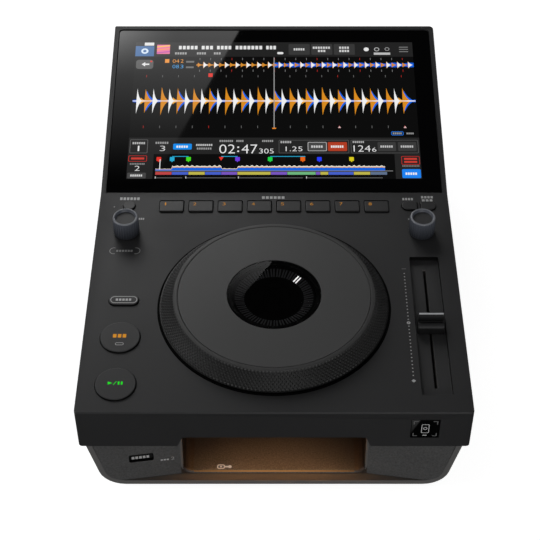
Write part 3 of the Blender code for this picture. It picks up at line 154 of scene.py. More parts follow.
class PLAYER_PG_colours(bpy.types.PropertyGroup):
    """Colours of the plastics, prints and lights."""

    case: colour("Case", "Satin plastic of the deck and its sides", (47, 47, 48))
    base: colour("Base", "Plastic of the tapered base", (112, 111, 110))
    wing: colour("Wings", "Grained plastic of the front wings", (86, 86, 86))
    bay: colour("Bay", "Grained plastic of the bay between the wings", (74, 70, 66))
    key: colour("Keys", "Plastic of the pads and buttons", (50, 50, 51))
    # Painted shade on the keys' walls and in the gaps round them
    wall: colour("Key walls", "Sides of the keys, in the gaps", (12, 12, 12))
    grip: colour("Jog grip", "Knurled side of the jog wheel", (50, 50, 50))
    band: colour("Jog band", "Plain band between the knurls and the plate", (70, 70, 70))
    plate: colour("Jog plate", "Top plate of the jog wheel", (76, 76, 76))
    knob: colour("Knobs", "Fluted side of the knobs", (88, 92, 101))
    # Paler paint for the knobs' rims: a painted highlight
    rim: colour("Knob rims", "Bright ring round the top of each knob", (142, 145, 151))
    tray: colour("Fader tray", "Floor of the sunk tray", (56, 56, 57))
    print_white: colour("White print", "Printed marks on the deck", (205, 205, 205))
    print_orange: colour("Orange print", "Numbers on the pads and the mark on the cue button", (196, 132, 36))
    print_green: colour("Green light", "Start and pause mark", (30, 215, 34))
    bay_glow: colour("Bay light", "Light of the bar under the bay's ceiling", (255, 186, 120))


class PLAYER_PG_wheel(bpy.types.PropertyGroup):
    """Sizes of the jog wheel's surfaces."""

    diamonds: count_of("Diamonds", "Knurls round the wheel", 182, 60, 400)
    diamond_rows: amount("Rows", "Knurls up the slope", 8.5, 1.0, 12.0)
    knurl_depth: length("Knurl depth", "Depth of the grooves between the knurls", 0.8)
    # Painted shade: how much darker the knurls' grooves are painted
    valley_shade: amount("Valley shade", "How much darker the grooves are", 0.9, 0.0, 1.0)
    ticks: count_of("Ticks", "Marks round the wheel's display", 72, 12, 180)
    tick_inner: length("Tick inner radius", "Radius where each mark starts", 20.0)
    tick_outer: length("Tick outer radius", "Radius where each mark ends", 26.3)


class PLAYER_PG_controls(bpy.types.PropertyGroup):
    """Sizes of the knobs, keys and fader."""

    key_round: length("Key edge", "Round of a key's top edge", 0.45)
    flutes: count_of("Flutes", "Flutes round a knob", 30, 12, 90)
    flute_depth: length("Flute depth", "Depth of a knob's flutes", 0.45)
    cap_round: length("Fader cap edge", "Round of the fader cap's edges", 0.35)


class PLAYER_PG_studio(bpy.types.PropertyGroup):
    """The lamps and the floor."""

    key_power: amount("Key lamp", "Soft lamp behind, at the left, in watts", 8.9)
    fill_power: amount("Fill lamp", "Soft lamp at the front, in watts", 12.0)
    side_power: amount("Side lamp", "Soft lamp at the left, in watts", 7.0)
    ambient: amount("Ambient", "Even light from all round", 0.13)
    card_glow: amount("Cards", "Brightness of the cards seen in the glass", 1.0)
    bay_power: amount("Bay lamp", "Warm strip under the bay's ceiling, in watts", 0.0125)
    floor_glow: amount("Floor glow", "White that the camera adds to the floor", 0.9)
    floor: colour("Floor", "Pale floor", (190, 190, 190))


# Shapes: grids and lofts worked out as whole arrays

class Shape:
    """Points and faces gathered from arrays, with a paint number and an ink for each face. An ink is a print's
    colour, or painted shade and highlight that multiplies a paint.
    """

    def __init__(self):
        self.points, self.faces, self.paints, self.inks, self.total = [], [], [], [], 0

    def add(self, points, blocks, paint=0, ink=FULL):
        """Adds points (n, 3) and blocks of faces that count from the first of them."""
        for block in blocks:
            self.faces.append(np.asarray(block) + self.total)
            self.paints.append(np.full(len(block), paint))
            self.inks.append(np.broadcast_to(ink, (len(block), 4)))
        self.points.append(points)
        self.total += len(points)

    def loft(self, loops, paint=0, ink=FULL, ring=False):
        """Joins loops (rows, columns, 3) that run anticlockwise while the rows climb the outside.

        The first and last loops are filled, or joined to each other on a ring.
        """
        rows, columns = loops.shape[:2]
        index = np.arange(rows * columns).reshape(rows, columns)
        net = np.column_stack([index, index[:, :1]])
        if ring:
            net = np.vstack([net, net[:1]])
        quads = np.stack([net[:-1, :-1], net[:-1, 1:], net[1:, 1:], net[1:, :-1]], -1).reshape(-1, 4)
        ends = [] if ring else [index[:1, ::-1], index[-1:]]
        self.add(loops.reshape(-1, 3), [quads, *ends], paint, ink)

    def mesh(self, name, paints):
        """The gathered faces as a mesh, with each face's ink kept in the attribute Ink."""
        made = bpy.data.meshes.new(name)
        points = np.concatenate(self.points).astype(np.float32)
        counts = np.concatenate([np.full(len(block), block.shape[1]) for block in self.faces])
        made.vertices.add(len(points))
        made.vertices.foreach_set("co", points.ravel())
        made.loops.add(int(counts.sum()))
        made.polygons.add(len(counts))
        made.polygons.foreach_set("loop_start", np.cumsum(counts) - counts)
        made.polygons.foreach_set("vertices", np.concatenate([block.ravel() for block in self.faces]))
        made.polygons.foreach_set("material_index", np.concatenate(self.paints))
        made.update(calc_edges=True)
        ink = made.attributes.new("Ink", "FLOAT_COLOR", "CORNER")
        ink.data.foreach_set("color", np.repeat(np.concatenate(self.inks), counts, axis=0).ravel())
        for paint in paints:
            made.materials.append(paint)
        return made


def flat(points):
    """A shape of one flat face."""
    shape = Shape()
    shape.add(np.array(points, float), [[range(len(points))]])
    return shape


def shown(name, data):
    """A new object of the data given, in the scene."""
    obj = bpy.data.objects.new(name, data)
    bpy.context.scene.collection.objects.link(obj)
    return obj


def smoothed(mesh, angle=SMOOTH_BELOW):
    """Shades a mesh smooth, but for edges sharper than so many degrees."""
    mesh.shade_smooth()
    mesh.set_sharp_from_angle(angle=angle * DEGREE)
    return mesh


def settle(name, mesh, body, nodes=()):
    """Makes a piece of a mesh, on its body and the nodes that it stands for."""
    obj = shown(name, mesh)
    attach(obj, body)
    if nodes:
        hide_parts(*nodes)
    return obj


def piece(name, shape, paints, body, nodes=(), smooth=SMOOTH_BELOW):
    """Makes a piece of a gathered shape."""
    return settle(name, smoothed(shape.mesh(name, paints), smooth), body, nodes)


def round_edges(obj, width, segments=2, angle=38):
    """A live bevel on the edges that turn by more than so many degrees."""
    step = obj.modifiers.new("edge_round", "BEVEL")
    step.width = width
    step.segments = segments
    step.limit_method = "ANGLE"
    step.angle_limit = angle * DEGREE
    step.harden_normals = True
    step.use_clamp_overlap = True
    return obj


def softened(name, node, paints, body, width):
    """A node's mesh merged, with its flats joined and its edges rounded."""
    shape = bmesh.new()
    shape.from_mesh(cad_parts[node].data)
    bmesh.ops.remove_doubles(shape, verts=shape.verts, dist=MERGE)
    bmesh.ops.dissolve_limit(shape, angle_limit=0.5 * DEGREE, verts=shape.verts, edges=shape.edges)
    mesh = bpy.data.meshes.new(name)
    shape.to_mesh(mesh)
    shape.free()
    for paint in paints:
        mesh.materials.append(paint)
    return round_edges(settle(name, smoothed(mesh), body, [node]), width)


def repaint(obj, rule):
    """Picks each face's paint by a rule that takes the faces' centres and normals."""
    mesh = obj.data
    mesh.polygons.foreach_set("material_index", np.asarray(rule(*face_places(mesh))).astype(int))
    return obj


def dress(node, paint):
    """Gives a node that stays in view a better material."""
    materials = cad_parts[node].data.materials
    materials.clear()
    materials.append(paint)


# Outlines, as arrays of (x, y), anticlockwise

def circle(radius, count=ROUND):
    """Radius times the cosine and sine of equal turns."""
    turn = np.arange(count) * TURN / count
    return radius * np.column_stack([np.cos(turn), np.sin(turn)])


def arc(radius, start, end, count):
    """Radius times the cosine and sine, from one share of a turn to another."""
    turn = np.linspace(start, end, count) * TURN
    return radius * np.column_stack([np.cos(turn), np.sin(turn)])


def rounded(half_x, half_y, radii, steps=CORNER_STEPS):
    """Each corner's centre plus its radius times the unit circle, quarter by quarter."""
    radius = np.clip(np.broadcast_to(radii, 4), 1e-5, 0.98 * min(half_x, half_y))[:, None]
    angle = (np.arange(4)[:, None] + np.linspace(0, 1, steps + 1)) * TURN / 4
    side_x = np.array([[1], [-1], [-1], [1]])
    side_y = np.array([[1], [1], [-1], [-1]])
    x = side_x * (half_x - radius) + radius * np.cos(angle)
    y = side_y * (half_y - radius) + radius * np.sin(angle)
    return np.stack([x, y], -1).reshape(-1, 2)


def quarter(radius, top, steps=4):
    """A round top edge as (inset, height): the inset is radius(1 - cos), the height top - radius(1 - sin).

    A last row a little further in keeps the flat beyond it level in shade.
    """
    angle = np.linspace(0, TURN / 4, steps + 1)
    rows = np.column_stack([radius * (1 - np.cos(angle)), top - radius * (1 - np.sin(angle))])
    return np.vstack([rows, [(1.2 * radius, top)]])


def round_rim(radius, edge, top, steps=4, way=-1):
    """A round top edge as (radius, height): the radius moves by the edge's inset, inwards or outwards."""
    rows = quarter(edge, top, steps)
    return np.column_stack([radius + way * rows[:, 0], rows[:, 1]])


def stacked(outline_at, profile, centre):
    """The outline at each row's inset, lifted to its height above the centre."""
    loops = []
    for inset, height in profile:
        outline = outline_at(inset)
        loops.append(np.column_stack([outline + centre[:2], np.full(len(outline), centre[2] + height)]))
    return np.stack(loops)


def turned(profile, centre, count=ROUND):
    """Each (radius, height) of the profile becomes a level circle about the centre."""
    profile = np.asarray(profile, float)
    loops = np.empty((len(profile), count, 3))
    loops[..., :2] = profile[:, None, :1] * circle(1.0, count) + centre[:2]
    loops[..., 2] = profile[:, 1:] + centre[2]
    return loops


def wound(radius, height, turn, centre):
    """The radius times the cosine and sine of the turn, with the height, from the centre."""
    return np.stack([radius * np.cos(turn), radius * np.sin(turn), height], -1) + centre


def anticlockwise(outline):
    """The outline, reversed if the sum of its cross products is below zero."""
    x, y = outline.T
    return outline[::-1] if x @ np.roll(y, -1) < y @ np.roll(x, -1) else outline


# Flat marks

class Drawing(Shape):
    """Flat marks on a plane, each a thin slab that stands at its own layer.

    The plane has an origin, two directions across it and a unit. Marks may run down the second one.
    """

    def __init__(self, origin, across=(1, 0, 0), upward=(0, 1, 0), unit=MM, sense=1):
        super().__init__()
        self.origin, self.across, self.upward = (np.array(v, float) for v in (origin, across, upward))
        self.out = np.cross(self.across, self.upward)
        self.unit, self.sense = unit, sense

    def at(self, outline, height):
        """Origin plus x along the first direction, y along the second and the height outwards."""
        x, y = self.unit * outline[:, :1], self.unit * outline[:, 1:2]
        return self.origin + x * self.across + y * self.upward + height * self.out

    def slab(self, outline, ink, layer=1):
        """A filled outline."""
        outline = anticlockwise(np.asarray(outline, float) * (1, self.sense))
        self.loft(np.stack([self.at(outline, height) for height in (-SINK, layer * LAYER)]), ink=ink)

    def box(self, x0, y0, x1, y1, ink, layer=1, radius=0.0):
        """A rectangle between two corners, with round corners if a radius is given."""
        if radius:
            half = (abs(x1 - x0) / 2, abs(y1 - y0) / 2)
            return self.slab(rounded(*half, radius, 3) + ((x0 + x1) / 2, (y0 + y1) / 2), ink, layer)
        return self.slab([(x0, y0), (x1, y0), (x1, y1), (x0, y1)], ink, layer)

    def disc(self, x, y, radius, ink, layer=1, count=20):
        """A filled circle."""
        self.slab(circle(radius, count) + (x, y), ink, layer)

    def line(self, points, width, ink, layer=1, ring=False):
        """A stroke: each point moves half the width along the mitre of its two neighbours' normals."""
        path = np.asarray(points, float) * (1, self.sense)
        if ring:
            path = anticlockwise(path)
            before, after = path - np.roll(path, 1, 0), np.roll(path, -1, 0) - path
        else:
            step = np.diff(path, axis=0)
            before, after = np.vstack([step[:1], step]), np.vstack([step, step[-1:]])
        normals = [
            np.column_stack([run[:, 1], -run[:, 0]]) / np.linalg.norm(run, axis=1)[:, None]
            for run in (before, after)
        ]
        mitre = sum(normals)
        mitre *= width / np.maximum((mitre ** 2).sum(1), 0.5)[:, None]
        sides = (path + mitre, path - mitre)
        if not ring:
            outline = np.vstack([sides[0], sides[1][::-1]]) * (1, self.sense)
            return self.slab(outline, ink, layer)
        low, high = -SINK, layer * LAYER
        rows = [(sides[0], low), (sides[0], high), (sides[1], high), (sides[1], low)]
        return self.loft(np.stack([self.at(side, height) for side, height in rows]), ink=ink, ring=True)

    def border(self, x0, y0, x1, y1, width, ink, layer=1, radius=0.0):
        """The outline of a rectangle, drawn inside its edges."""
        half = (abs(x1 - x0) / 2 - width / 2, abs(y1 - y0) / 2 - width / 2)
        self.line(rounded(*half, radius or 1e-3, 3) + ((x0 + x1) / 2, (y0 + y1) / 2), width, ink, layer, ring=True)

    def strokes(self, x0, y0, x1, y1, count, ink, layer=1):
        """Small blocks in a row, in place of a word: each takes 0.72 of its share."""
        pitch = (x1 - x0) / count
        for k in range(count):
            left = x0 + k * pitch
            self.box(left, y0, left + 0.72 * pitch, y1, ink, layer)

    def number(self, text, x0, y0, x1, y1, ink, layer=1):
        """A number in Blender's own typeface, fitted between two corners."""
        curve = bpy.data.curves.new("number", "FONT")
        curve.body = text
        curve.resolution_u = 3
        curve.extrude = 1.0
        curve.offset = -0.012
        obj = shown("number", curve)
        solid = obj.evaluated_get(bpy.context.evaluated_depsgraph_get()).to_mesh()
        solid.calc_loop_triangles()
        points = np.empty(len(solid.vertices) * 3)
        solid.vertices.foreach_get("co", points)
        faces = np.empty(len(solid.loop_triangles) * 3, int)
        solid.loop_triangles.foreach_get("vertices", faces)
        bpy.data.objects.remove(obj)
        bpy.data.curves.remove(curve)
        points = points.reshape(-1, 3)
        low, high = points.min(0), points.max(0)
        share = (points - low) / (high - low)
        foot, head = (y0, y1)[::self.sense]
        places = np.column_stack([x0 + share[:, 0] * (x1 - x0), self.sense * (foot + share[:, 1] * (head - foot))])
        height = share[:, 2:] * (SINK + layer * LAYER) - SINK
        self.add(self.at(places, height), [faces.reshape(-1, 3)], ink=ink)


# Shader groups: effects that more than one material uses

def node_group(name, inputs, outputs):
    """An empty shader group with named sockets, each input given as its kind and default."""
    tree = bpy.data.node_groups.new(name, "ShaderNodeTree")
    for label, (kind, value) in inputs.items():
        tree.interface.new_socket(label, in_out="INPUT", socket_type=f"NodeSocket{kind}").default_value = value
    for label, kind in outputs.items():
        tree.interface.new_socket(label, in_out="OUTPUT", socket_type=f"NodeSocket{kind}")
    return tree, tree.nodes.new("NodeGroupInput").outputs, tree.nodes.new("NodeGroupOutput").inputs


def node(tree, kind, settings=(), **inputs):
    """A node with its settings, and its inputs set by name or linked where a socket is given."""
    made = tree.nodes.new(f"ShaderNode{kind}")
    for key, value in dict(settings).items():
        setattr(made, key, value)
    for key, value in inputs.items():
        numbered = key[0] == "i" and key[1:].isdigit()
        socket = made.inputs[int(key[1:]) if numbered else key.replace("_", " ")]
        if isinstance(value, bpy.types.NodeSocket):
            tree.links.new(value, socket)
        else:
            socket.default_value = value
    return made


def maths(tree, operation, first, second=0.0, third=0.0, clamp=False):
    """The result of one sum."""
    settings = {"operation": operation, "use_clamp": clamp}
    return node(tree, "Math", settings, i0=first, i1=second, i2=third).outputs[0]


def ramp(tree, value, start, end):
    """The share of the way from start to end, held between 0 and 1."""
    return node(tree, "MapRange", Value=value, From_Min=start, From_Max=end).outputs[0]


def swung(tree, level, noise, still, reach):
    """The level plus the reach times the noise less its still value."""
    return maths(tree, "ADD", maths(tree, "MULTIPLY", maths(tree, "SUBTRACT", noise, still), reach), level)


def scaled(tree, colour, share):
    """A colour times a share."""
    return node(tree, "VectorMath", {"operation": "SCALE"}, i0=colour, Scale=share).outputs[0]


def coordinate(tree, kind="Object"):
    """The place of the shaded point."""
    return node(tree, "TexCoord").outputs[kind]


def apart(tree, kind="Object"):
    """The place of the shaded point, as sockets X, Y and Z."""
    return node(tree, "SeparateXYZ", Vector=coordinate(tree, kind)).outputs


def feed(tree, sockets, **sources):
    """Links each source to the socket of its name."""
    for name, source in sources.items():
        tree.links.new(source, sockets[name.replace("_", " ")])


def moulded_grain():
    """Fine mould grain: noise at the grain's size lifts the surface, and slow noise shifts tone and gloss."""
    tree, given, result = node_group(
        "Moulded Grain",
        {"Colour": ("Color", FULL), "Roughness": ("Float", 0.5), "Grain": ("Float", 0.3 * MM),
         "Spread": ("Float", 0.1)},
        {"Colour": "Color", "Roughness": "Float", "Height": "Float"},
    )
    place = coordinate(tree)
    fine = node(tree, "TexNoise", Vector=place, Scale=maths(tree, "DIVIDE", 1.0, given["Grain"]), Detail=2.0)
    slow = node(tree, "TexNoise", Vector=place, Scale=28.0, Detail=3.0)
    both = maths(tree, "ADD", fine.outputs[0], maths(tree, "MULTIPLY", slow.outputs[0], 0.4))
    feed(
        tree, result, Colour=scaled(tree, given["Colour"], swung(tree, 1.0, both, 0.7, given["Spread"])),
        Roughness=swung(tree, given["Roughness"], slow.outputs[0], 0.5, 0.14), Height=fine.outputs[0],
    )
    return tree


def turned_lines():
    """Lines left by turning: noise along the distance from a centre in the level plane."""
    tree, given, result = node_group(
        "Turned Lines",
        {"Centre": ("Vector", (0, 0, 0)), "Pitch": ("Float", 0.3 * MM), "Colour": ("Color", FULL),
         "Roughness": ("Float", 0.4), "Spread": ("Float", 0.08)},
        {"Colour": "Color", "Roughness": "Float", "Height": "Float"},
    )
    place = coordinate(tree)
    away = node(tree, "VectorMath", {"operation": "SUBTRACT"}, i0=place, i1=given["Centre"]).outputs[0]
    level = node(tree, "VectorMath", {"operation": "MULTIPLY"}, i0=away, i1=(1.0, 1.0, 0.0)).outputs[0]
    radius = node(tree, "VectorMath", {"operation": "LENGTH"}, i0=level).outputs["Value"]
    across = maths(tree, "DIVIDE", radius, given["Pitch"])
    lines = node(tree, "TexNoise", {"noise_dimensions": "1D"}, W=across, Scale=1.0, Detail=3.0).outputs[0]
    slow = node(tree, "TexNoise", Vector=place, Scale=34.0, Detail=2.0).outputs[0]
    feed(
        tree, result, Colour=scaled(tree, given["Colour"], swung(tree, 1.0, lines, 0.5, given["Spread"])),
        Roughness=swung(tree, given["Roughness"], slow, 0.5, 0.12), Height=lines,
    )
    return tree


def fine_smudge():
    """Faint marks of handling on gloss: slow noise, sharpened, raises the roughness a little."""
    tree, given, result = node_group(
        "Fine Smudge", {"Roughness": ("Float", 0.03), "Amount": ("Float", 0.03)}, {"Roughness": "Float"},
    )
    slow = node(tree, "TexNoise", Vector=coordinate(tree), Scale=42.0, Detail=4.0, Distortion=0.6).outputs[0]
    mask = node(tree, "MapRange", {"interpolation_type": "SMOOTHSTEP"}, Value=slow, From_Min=0.45, From_Max=0.72)
    raised = maths(tree, "MULTIPLY", mask.outputs[0], given["Amount"])
    feed(tree, result, Roughness=maths(tree, "ADD", given["Roughness"], raised))
    return tree


def brushed_grain():
    """Rolled or brushed metal: noise drawn out along X shifts the gloss and lifts fine lines."""
    tree, given, result = node_group(
        "Brushed Grain",
        {"Colour": ("Color", FULL), "Roughness": ("Float", 0.35), "Pitch": ("Float", 0.25 * MM)},
        {"Colour": "Color", "Roughness": "Float", "Height": "Float"},
    )
    drawn = node(tree, "Mapping", Vector=coordinate(tree), Scale=(0.06, 1.0, 1.0)).outputs[0]
    fineness = maths(tree, "DIVIDE", 1.0, given["Pitch"])
    lines = node(tree, "TexNoise", Vector=drawn, Scale=fineness, Detail=3.0).outputs[0]
    feed(
        tree, result, Colour=scaled(tree, given["Colour"], swung(tree, 1.0, lines, 0.5, 0.16)),
        Roughness=swung(tree, given["Roughness"], lines, 0.5, 0.3), Height=lines,
    )
    return tree


GROUPS = {}
PAINTS = {}


def kept(make):
    """Lets a function make each paint once, and give the same one whenever its name comes again."""
    def paint_of(name, *values, **uniform):
        if name not in PAINTS:
            PAINTS[name] = make(name, *values, **uniform)
        return PAINTS[name]

    return paint_of


def effect(tree, make, **values):
    """Places a shared group in a material with its own values, and makes the group at its first use."""
    if make.__name__ not in GROUPS:
        GROUPS[make.__name__] = make()
    placed = tree.nodes.new("ShaderNodeGroup")
    placed.node_tree = GROUPS[make.__name__]
    for key, value in values.items():
        placed.inputs[key].default_value = value
    return placed.outputs


def new_paint(name, **uniform):
    """A Principled material with its uniform values set on the shader itself."""
    paint = bpy.data.materials.new(name)
    paint.use_nodes = True
    shader = paint.node_tree.nodes["Principled BSDF"]
    for key, value in uniform.items():
        shader.inputs[key.replace("_", " ")].default_value = value
    return paint, paint.node_tree, shader.inputs


def lift(tree, height, depth, sockets):
    """Feeds a height into the shader's normal through a bump of the given depth."""
    feed(tree, sockets, Normal=node(tree, "Bump", Height=height, Distance=depth).outputs[0])


def own_ink(tree):
    """The ink of the shaded face: its print colour, or its painted shade and highlight."""
    return node(tree, "Attribute", {"attribute_name": "Ink"}).outputs["Color"]


@kept
def plastic(name, shade, roughness=0.5, grain=0.3, depth=0.012, spread=0.16, by_painted_shade=False, **uniform):
    """Moulded plastic: grain size and depth are in millimetres. Its colour may be multiplied by each face's ink,
    which then carries painted shade and highlight.
    """
    paint, tree, sockets = new_paint(name, **uniform)
    out = effect(tree, moulded_grain, Colour=(*shade, 1.0), Roughness=roughness, Grain=grain * MM, Spread=spread)
    tone = out["Colour"]
    if by_painted_shade:
        tone = node(tree, "VectorMath", {"operation": "MULTIPLY"}, i0=tone, i1=own_ink(tree)).outputs[0]
    feed(tree, sockets, Base_Color=tone, Roughness=out["Roughness"])
    lift(tree, out["Height"], depth * MM, sockets)
    return paint


@kept
def metal(name, shade, roughness=0.32, pitch=0.25, depth=0.004):
    """Brushed or rolled metal: the pitch and depth of its lines are in millimetres."""
    paint, tree, sockets = new_paint(name, Metallic=1.0)
    out = effect(tree, brushed_grain, Colour=(*shade, 1.0), Roughness=roughness, Pitch=pitch * MM)
    feed(tree, sockets, Base_Color=out["Colour"], Roughness=out["Roughness"])
    lift(tree, out["Height"], depth * MM, sockets)
    return paint


@kept
def gloss(name, shade, roughness=0.03, smudge=0.02, **uniform):
    """Glass or gloss plastic with faint handling marks."""
    paint, tree, sockets = new_paint(name, Base_Color=(*shade, 1.0), **uniform)
    feed(tree, sockets, Roughness=effect(tree, fine_smudge, Roughness=roughness, Amount=smudge)["Roughness"])
    return paint


@kept
def inked(name, glow=0.0, roughness=0.4, **uniform):
    """Print or light whose colour is each face's own ink."""
    paint, tree, sockets = new_paint(name, Emission_Strength=glow, **uniform)
    if glow:
        sockets["Base Color"].default_value = (0.002, 0.002, 0.002, 1.0)
        feed(tree, sockets, Emission_Color=own_ink(tree))
    else:
        feed(tree, sockets, Base_Color=own_ink(tree))
    feed(tree, sockets, Roughness=effect(tree, fine_smudge, Roughness=roughness, Amount=0.02)["Roughness"])
    return paint


def printed():
    """Matt print that also reads well in shade."""
    return inked("printed_ink", 0.0, 0.42)


def lit():
    """Marks with a lamp behind them, and marks given a glow as painted light."""
    return inked("lit_mark", 1.0, 0.5, Specular_IOR_Level=0.1)


def deep_black():
    """Near-black with almost no gloss: painted shade in the gap round the wheel and in the screws' slots, and the
    dark finish of the wheel's base and post.
    """
    return plastic("deep_black", linear(3, 3, 3), 0.7, 0.25, 0.01, Specular_IOR_Level=0.05)


def black_plastic():
    """Sockets and small parts inside."""
    return plastic("black_plastic", linear(16, 16, 16), 0.45, 0.25, 0.01)


def small_plastic(name, *shade):
    """The coloured plastic of a small part."""
    return plastic(name, linear(*shade), 0.4, 0.3, 0.01, 0.05)


def tinned_steel():
    """Shells of sockets, screws and shafts."""
    return metal("tinned_steel", linear(190, 190, 188), 0.3)


def key_plastic(shades):
    """The faces of the keys."""
    return plastic("key_plastic", shades.key, 0.42, 0.2, 0.008)


def key_wall(shades):
    """Painted shade: a dark paint on the walls of the keys' gaps, the holes in the deck and the wing panel's outer
    edges.
    """
    return plastic("key_wall", shades.wall, 0.5, 0.2, 0.008, Specular_IOR_Level=0.2)


# Drawing planes

def deck_plane(height=0.0):
    """The deck, x from the middle and y back from the front edge, in millimetres."""
    return Drawing((0.0, FRONT, DECK + height))


# Stage: the camera's lens and sensor in millimetres, its way back and up from the deck's front edge in metres,
# and its look down in degrees

LENS, SENSOR, SHIFT = 95.12, 36.0, -0.0076
CAMERA_BACK, CAMERA_UP, LOOK_DOWN = 0.5624, 0.7017, 45.56
LAMP_AIM = np.array([0.0, 0.0, 0.05])
FLOOR_REACH = 4.0


class PLAYER_OT_stage(bpy.types.Operator):
    """Make the pale floor, the soft lamps, the cards that the glass shows, and the camera"""

    bl_idname = "player.stage"
    bl_label = "Stage"

    def execute(self, context):
        studio = context.scene.player_studio
        self.make_world(context, studio)
        self.make_floor(studio)
        glow = studio.card_glow
        self.make_card("screen_card", 0.6, (-0.62, 0.29, 0.56), (0.467, -0.2758), self.screen_fade, glow)
        self.make_card("window_card", 0.25, (-0.06, 0.029, 0.095), (0.615, -0.0547), self.window_fade, glow)
        self.make_card("tile_card", 0.003, (0.085, -0.256, -0.234), (-0.671, -0.0631), self.tile_fade, glow)
        for name, power, size, place in (
            ("key_lamp", studio.key_power, 1.0, (-0.56, 1.53, 1.1)),
            ("fill_lamp", studio.fill_power, 1.6, (0.4, -2.0, 0.62)),
            ("side_lamp", studio.side_power, 1.2, (-1.7, -0.2, 0.6)),
        ):
            self.make_lamp(name, power, size, place)
        self.make_camera(context.scene)
        context.scene.view_settings.view_transform = "Standard"
        return {"FINISHED"}

    def make_camera(self, scene):
        """A camera at the photograph's viewing angle."""
        camera = bpy.data.cameras.new("camera")
        camera.lens = LENS
        camera.sensor_width = SENSOR
        camera.shift_x = SHIFT
        camera.clip_start = 0.01
        view = shown("camera", camera)
        view.location = (0.0, FRONT - CAMERA_BACK, DECK + CAMERA_UP)
        view.rotation_euler = ((90 - LOOK_DOWN) * DEGREE, 0.0, 0.0)
        scene.camera = view

    def make_world(self, context, studio):
        """Even light all round, and plain white where the camera looks past the floor."""
        world = bpy.data.worlds.new("studio")
        world.use_nodes = True
        tree = world.node_tree
        tree.nodes.clear()
        even = node(tree, "Background", Color=FULL, Strength=studio.ambient)
        dim = node(tree, "Background", Color=FULL, Strength=0.008)
        white = node(tree, "Background", Color=FULL, Strength=1.0)
        ray = node(tree, "LightPath").outputs
        rise = apart(tree, "Generated")["Z"]
        band = maths(tree, "MULTIPLY", ramp(tree, rise, -0.06, -0.01), ramp(tree, rise, 0.22, 0.10))
        overhead = node(tree, "MixShader", i0=band, i1=dim.outputs[0], i2=white.outputs[0])
        bounced = maths(tree, "MAXIMUM", ray["Is Glossy Ray"], ray["Is Transmission Ray"])
        past = node(tree, "MixShader", i0=bounced, i1=even.outputs[0], i2=overhead.outputs[0])
        mixed = node(tree, "MixShader", i0=ray["Is Camera Ray"], i1=past.outputs[0], i2=white.outputs[0])
        node(tree, "OutputWorld", Surface=mixed.outputs[0])
        context.scene.world = world

    def make_floor(self, studio):
        """A pale floor that keeps the object's shadow and adds white for the camera."""
        square = flat([(x * FLOOR_REACH, y * FLOOR_REACH, 0) for x, y in ((-1, -1), (1, -1), (1, 1), (-1, 1))])
        paint, tree, _ = new_paint(
            "floor", Base_Color=(*studio.floor, 1.0), Roughness=0.9, Specular_IOR_Level=0.1,
        )
        glow = node(tree, "Emission", Color=FULL, Strength=studio.floor_glow)
        seen = node(tree, "LightPath").outputs["Is Camera Ray"]
        black = node(tree, "Emission", Strength=0.0)
        extra = node(tree, "MixShader", i0=seen, i1=black.outputs[0], i2=glow.outputs[0])
        both = node(tree, "AddShader", i0=tree.nodes["Principled BSDF"].outputs[0], i1=extra.outputs[0])
        feed(tree, tree.nodes["Material Output"].inputs, Surface=both.outputs[0])
        floor = shown("floor", square.mesh("floor", [paint]))
        floor.visible_glossy = False

    def make_card(self, name, height, extent, edge, fade, glow):
        """A bright card, level at its height, from x left and y near to y far.

        Its right edge is the line x = slope times y + start.
        """
        left, near, far = extent
        slope, start = edge
        right = [slope * y + start for y in (near, far)]
        points = [(left, near, height), (left, far, height), (right[1], far, height), (right[0], near, height)]
        paint = bpy.data.materials.new(name)
        paint.use_nodes = True
        tree = paint.node_tree
        place = apart(tree)
        strength = maths(tree, "MULTIPLY", fade(tree, place["X"], place["Y"]), glow)
        light = node(tree, "Emission", Color=FULL, Strength=strength)
        feed(tree, tree.nodes["Material Output"].inputs, Surface=light.outputs[0])
        card = shown(name, flat(points).mesh(name, [paint]))
        card.visible_camera = card.visible_diffuse = card.visible_shadow = card.visible_transmission = False

    def screen_fade(self, tree, x, y):
        """A power of the share along y, plus a bright corner: the product of two more powers."""
        body = maths(tree, "POWER", ramp(tree, y, 0.29, 0.496), 1.7)
        back = maths(tree, "POWER", ramp(tree, y, 0.436, 0.497), 1.6)
        side = maths(tree, "POWER", ramp(tree, x, -0.115, -0.181), 1.5)
        corner = maths(tree, "MULTIPLY", maths(tree, "MULTIPLY", back, side), 1.98)
        return maths(tree, "MULTIPLY_ADD", body, 1.44, corner)

    def window_fade(self, tree, x, y):
        """The square of the share along y."""
        return maths(tree, "MULTIPLY", maths(tree, "POWER", ramp(tree, y, 0.029, 0.082), 2.0), 0.75)

    def tile_fade(self, tree, x, y):
        """The share along y."""
        return maths(tree, "MULTIPLY", ramp(tree, y, -0.232, -0.252), 0.5)

    def make_lamp(self, name, power, size, place):
        """A square soft lamp that faces the object."""
        light = bpy.data.lights.new(name, "AREA")
        light.energy = power
        light.size = size
        lamp = shown(name, light)
        lamp.location = place
        x, y, z = LAMP_AIM - place
        lamp.rotation_euler = (math.atan2(math.hypot(x, y), -z), 0.0, -math.atan2(x, y))


# Case and its prints

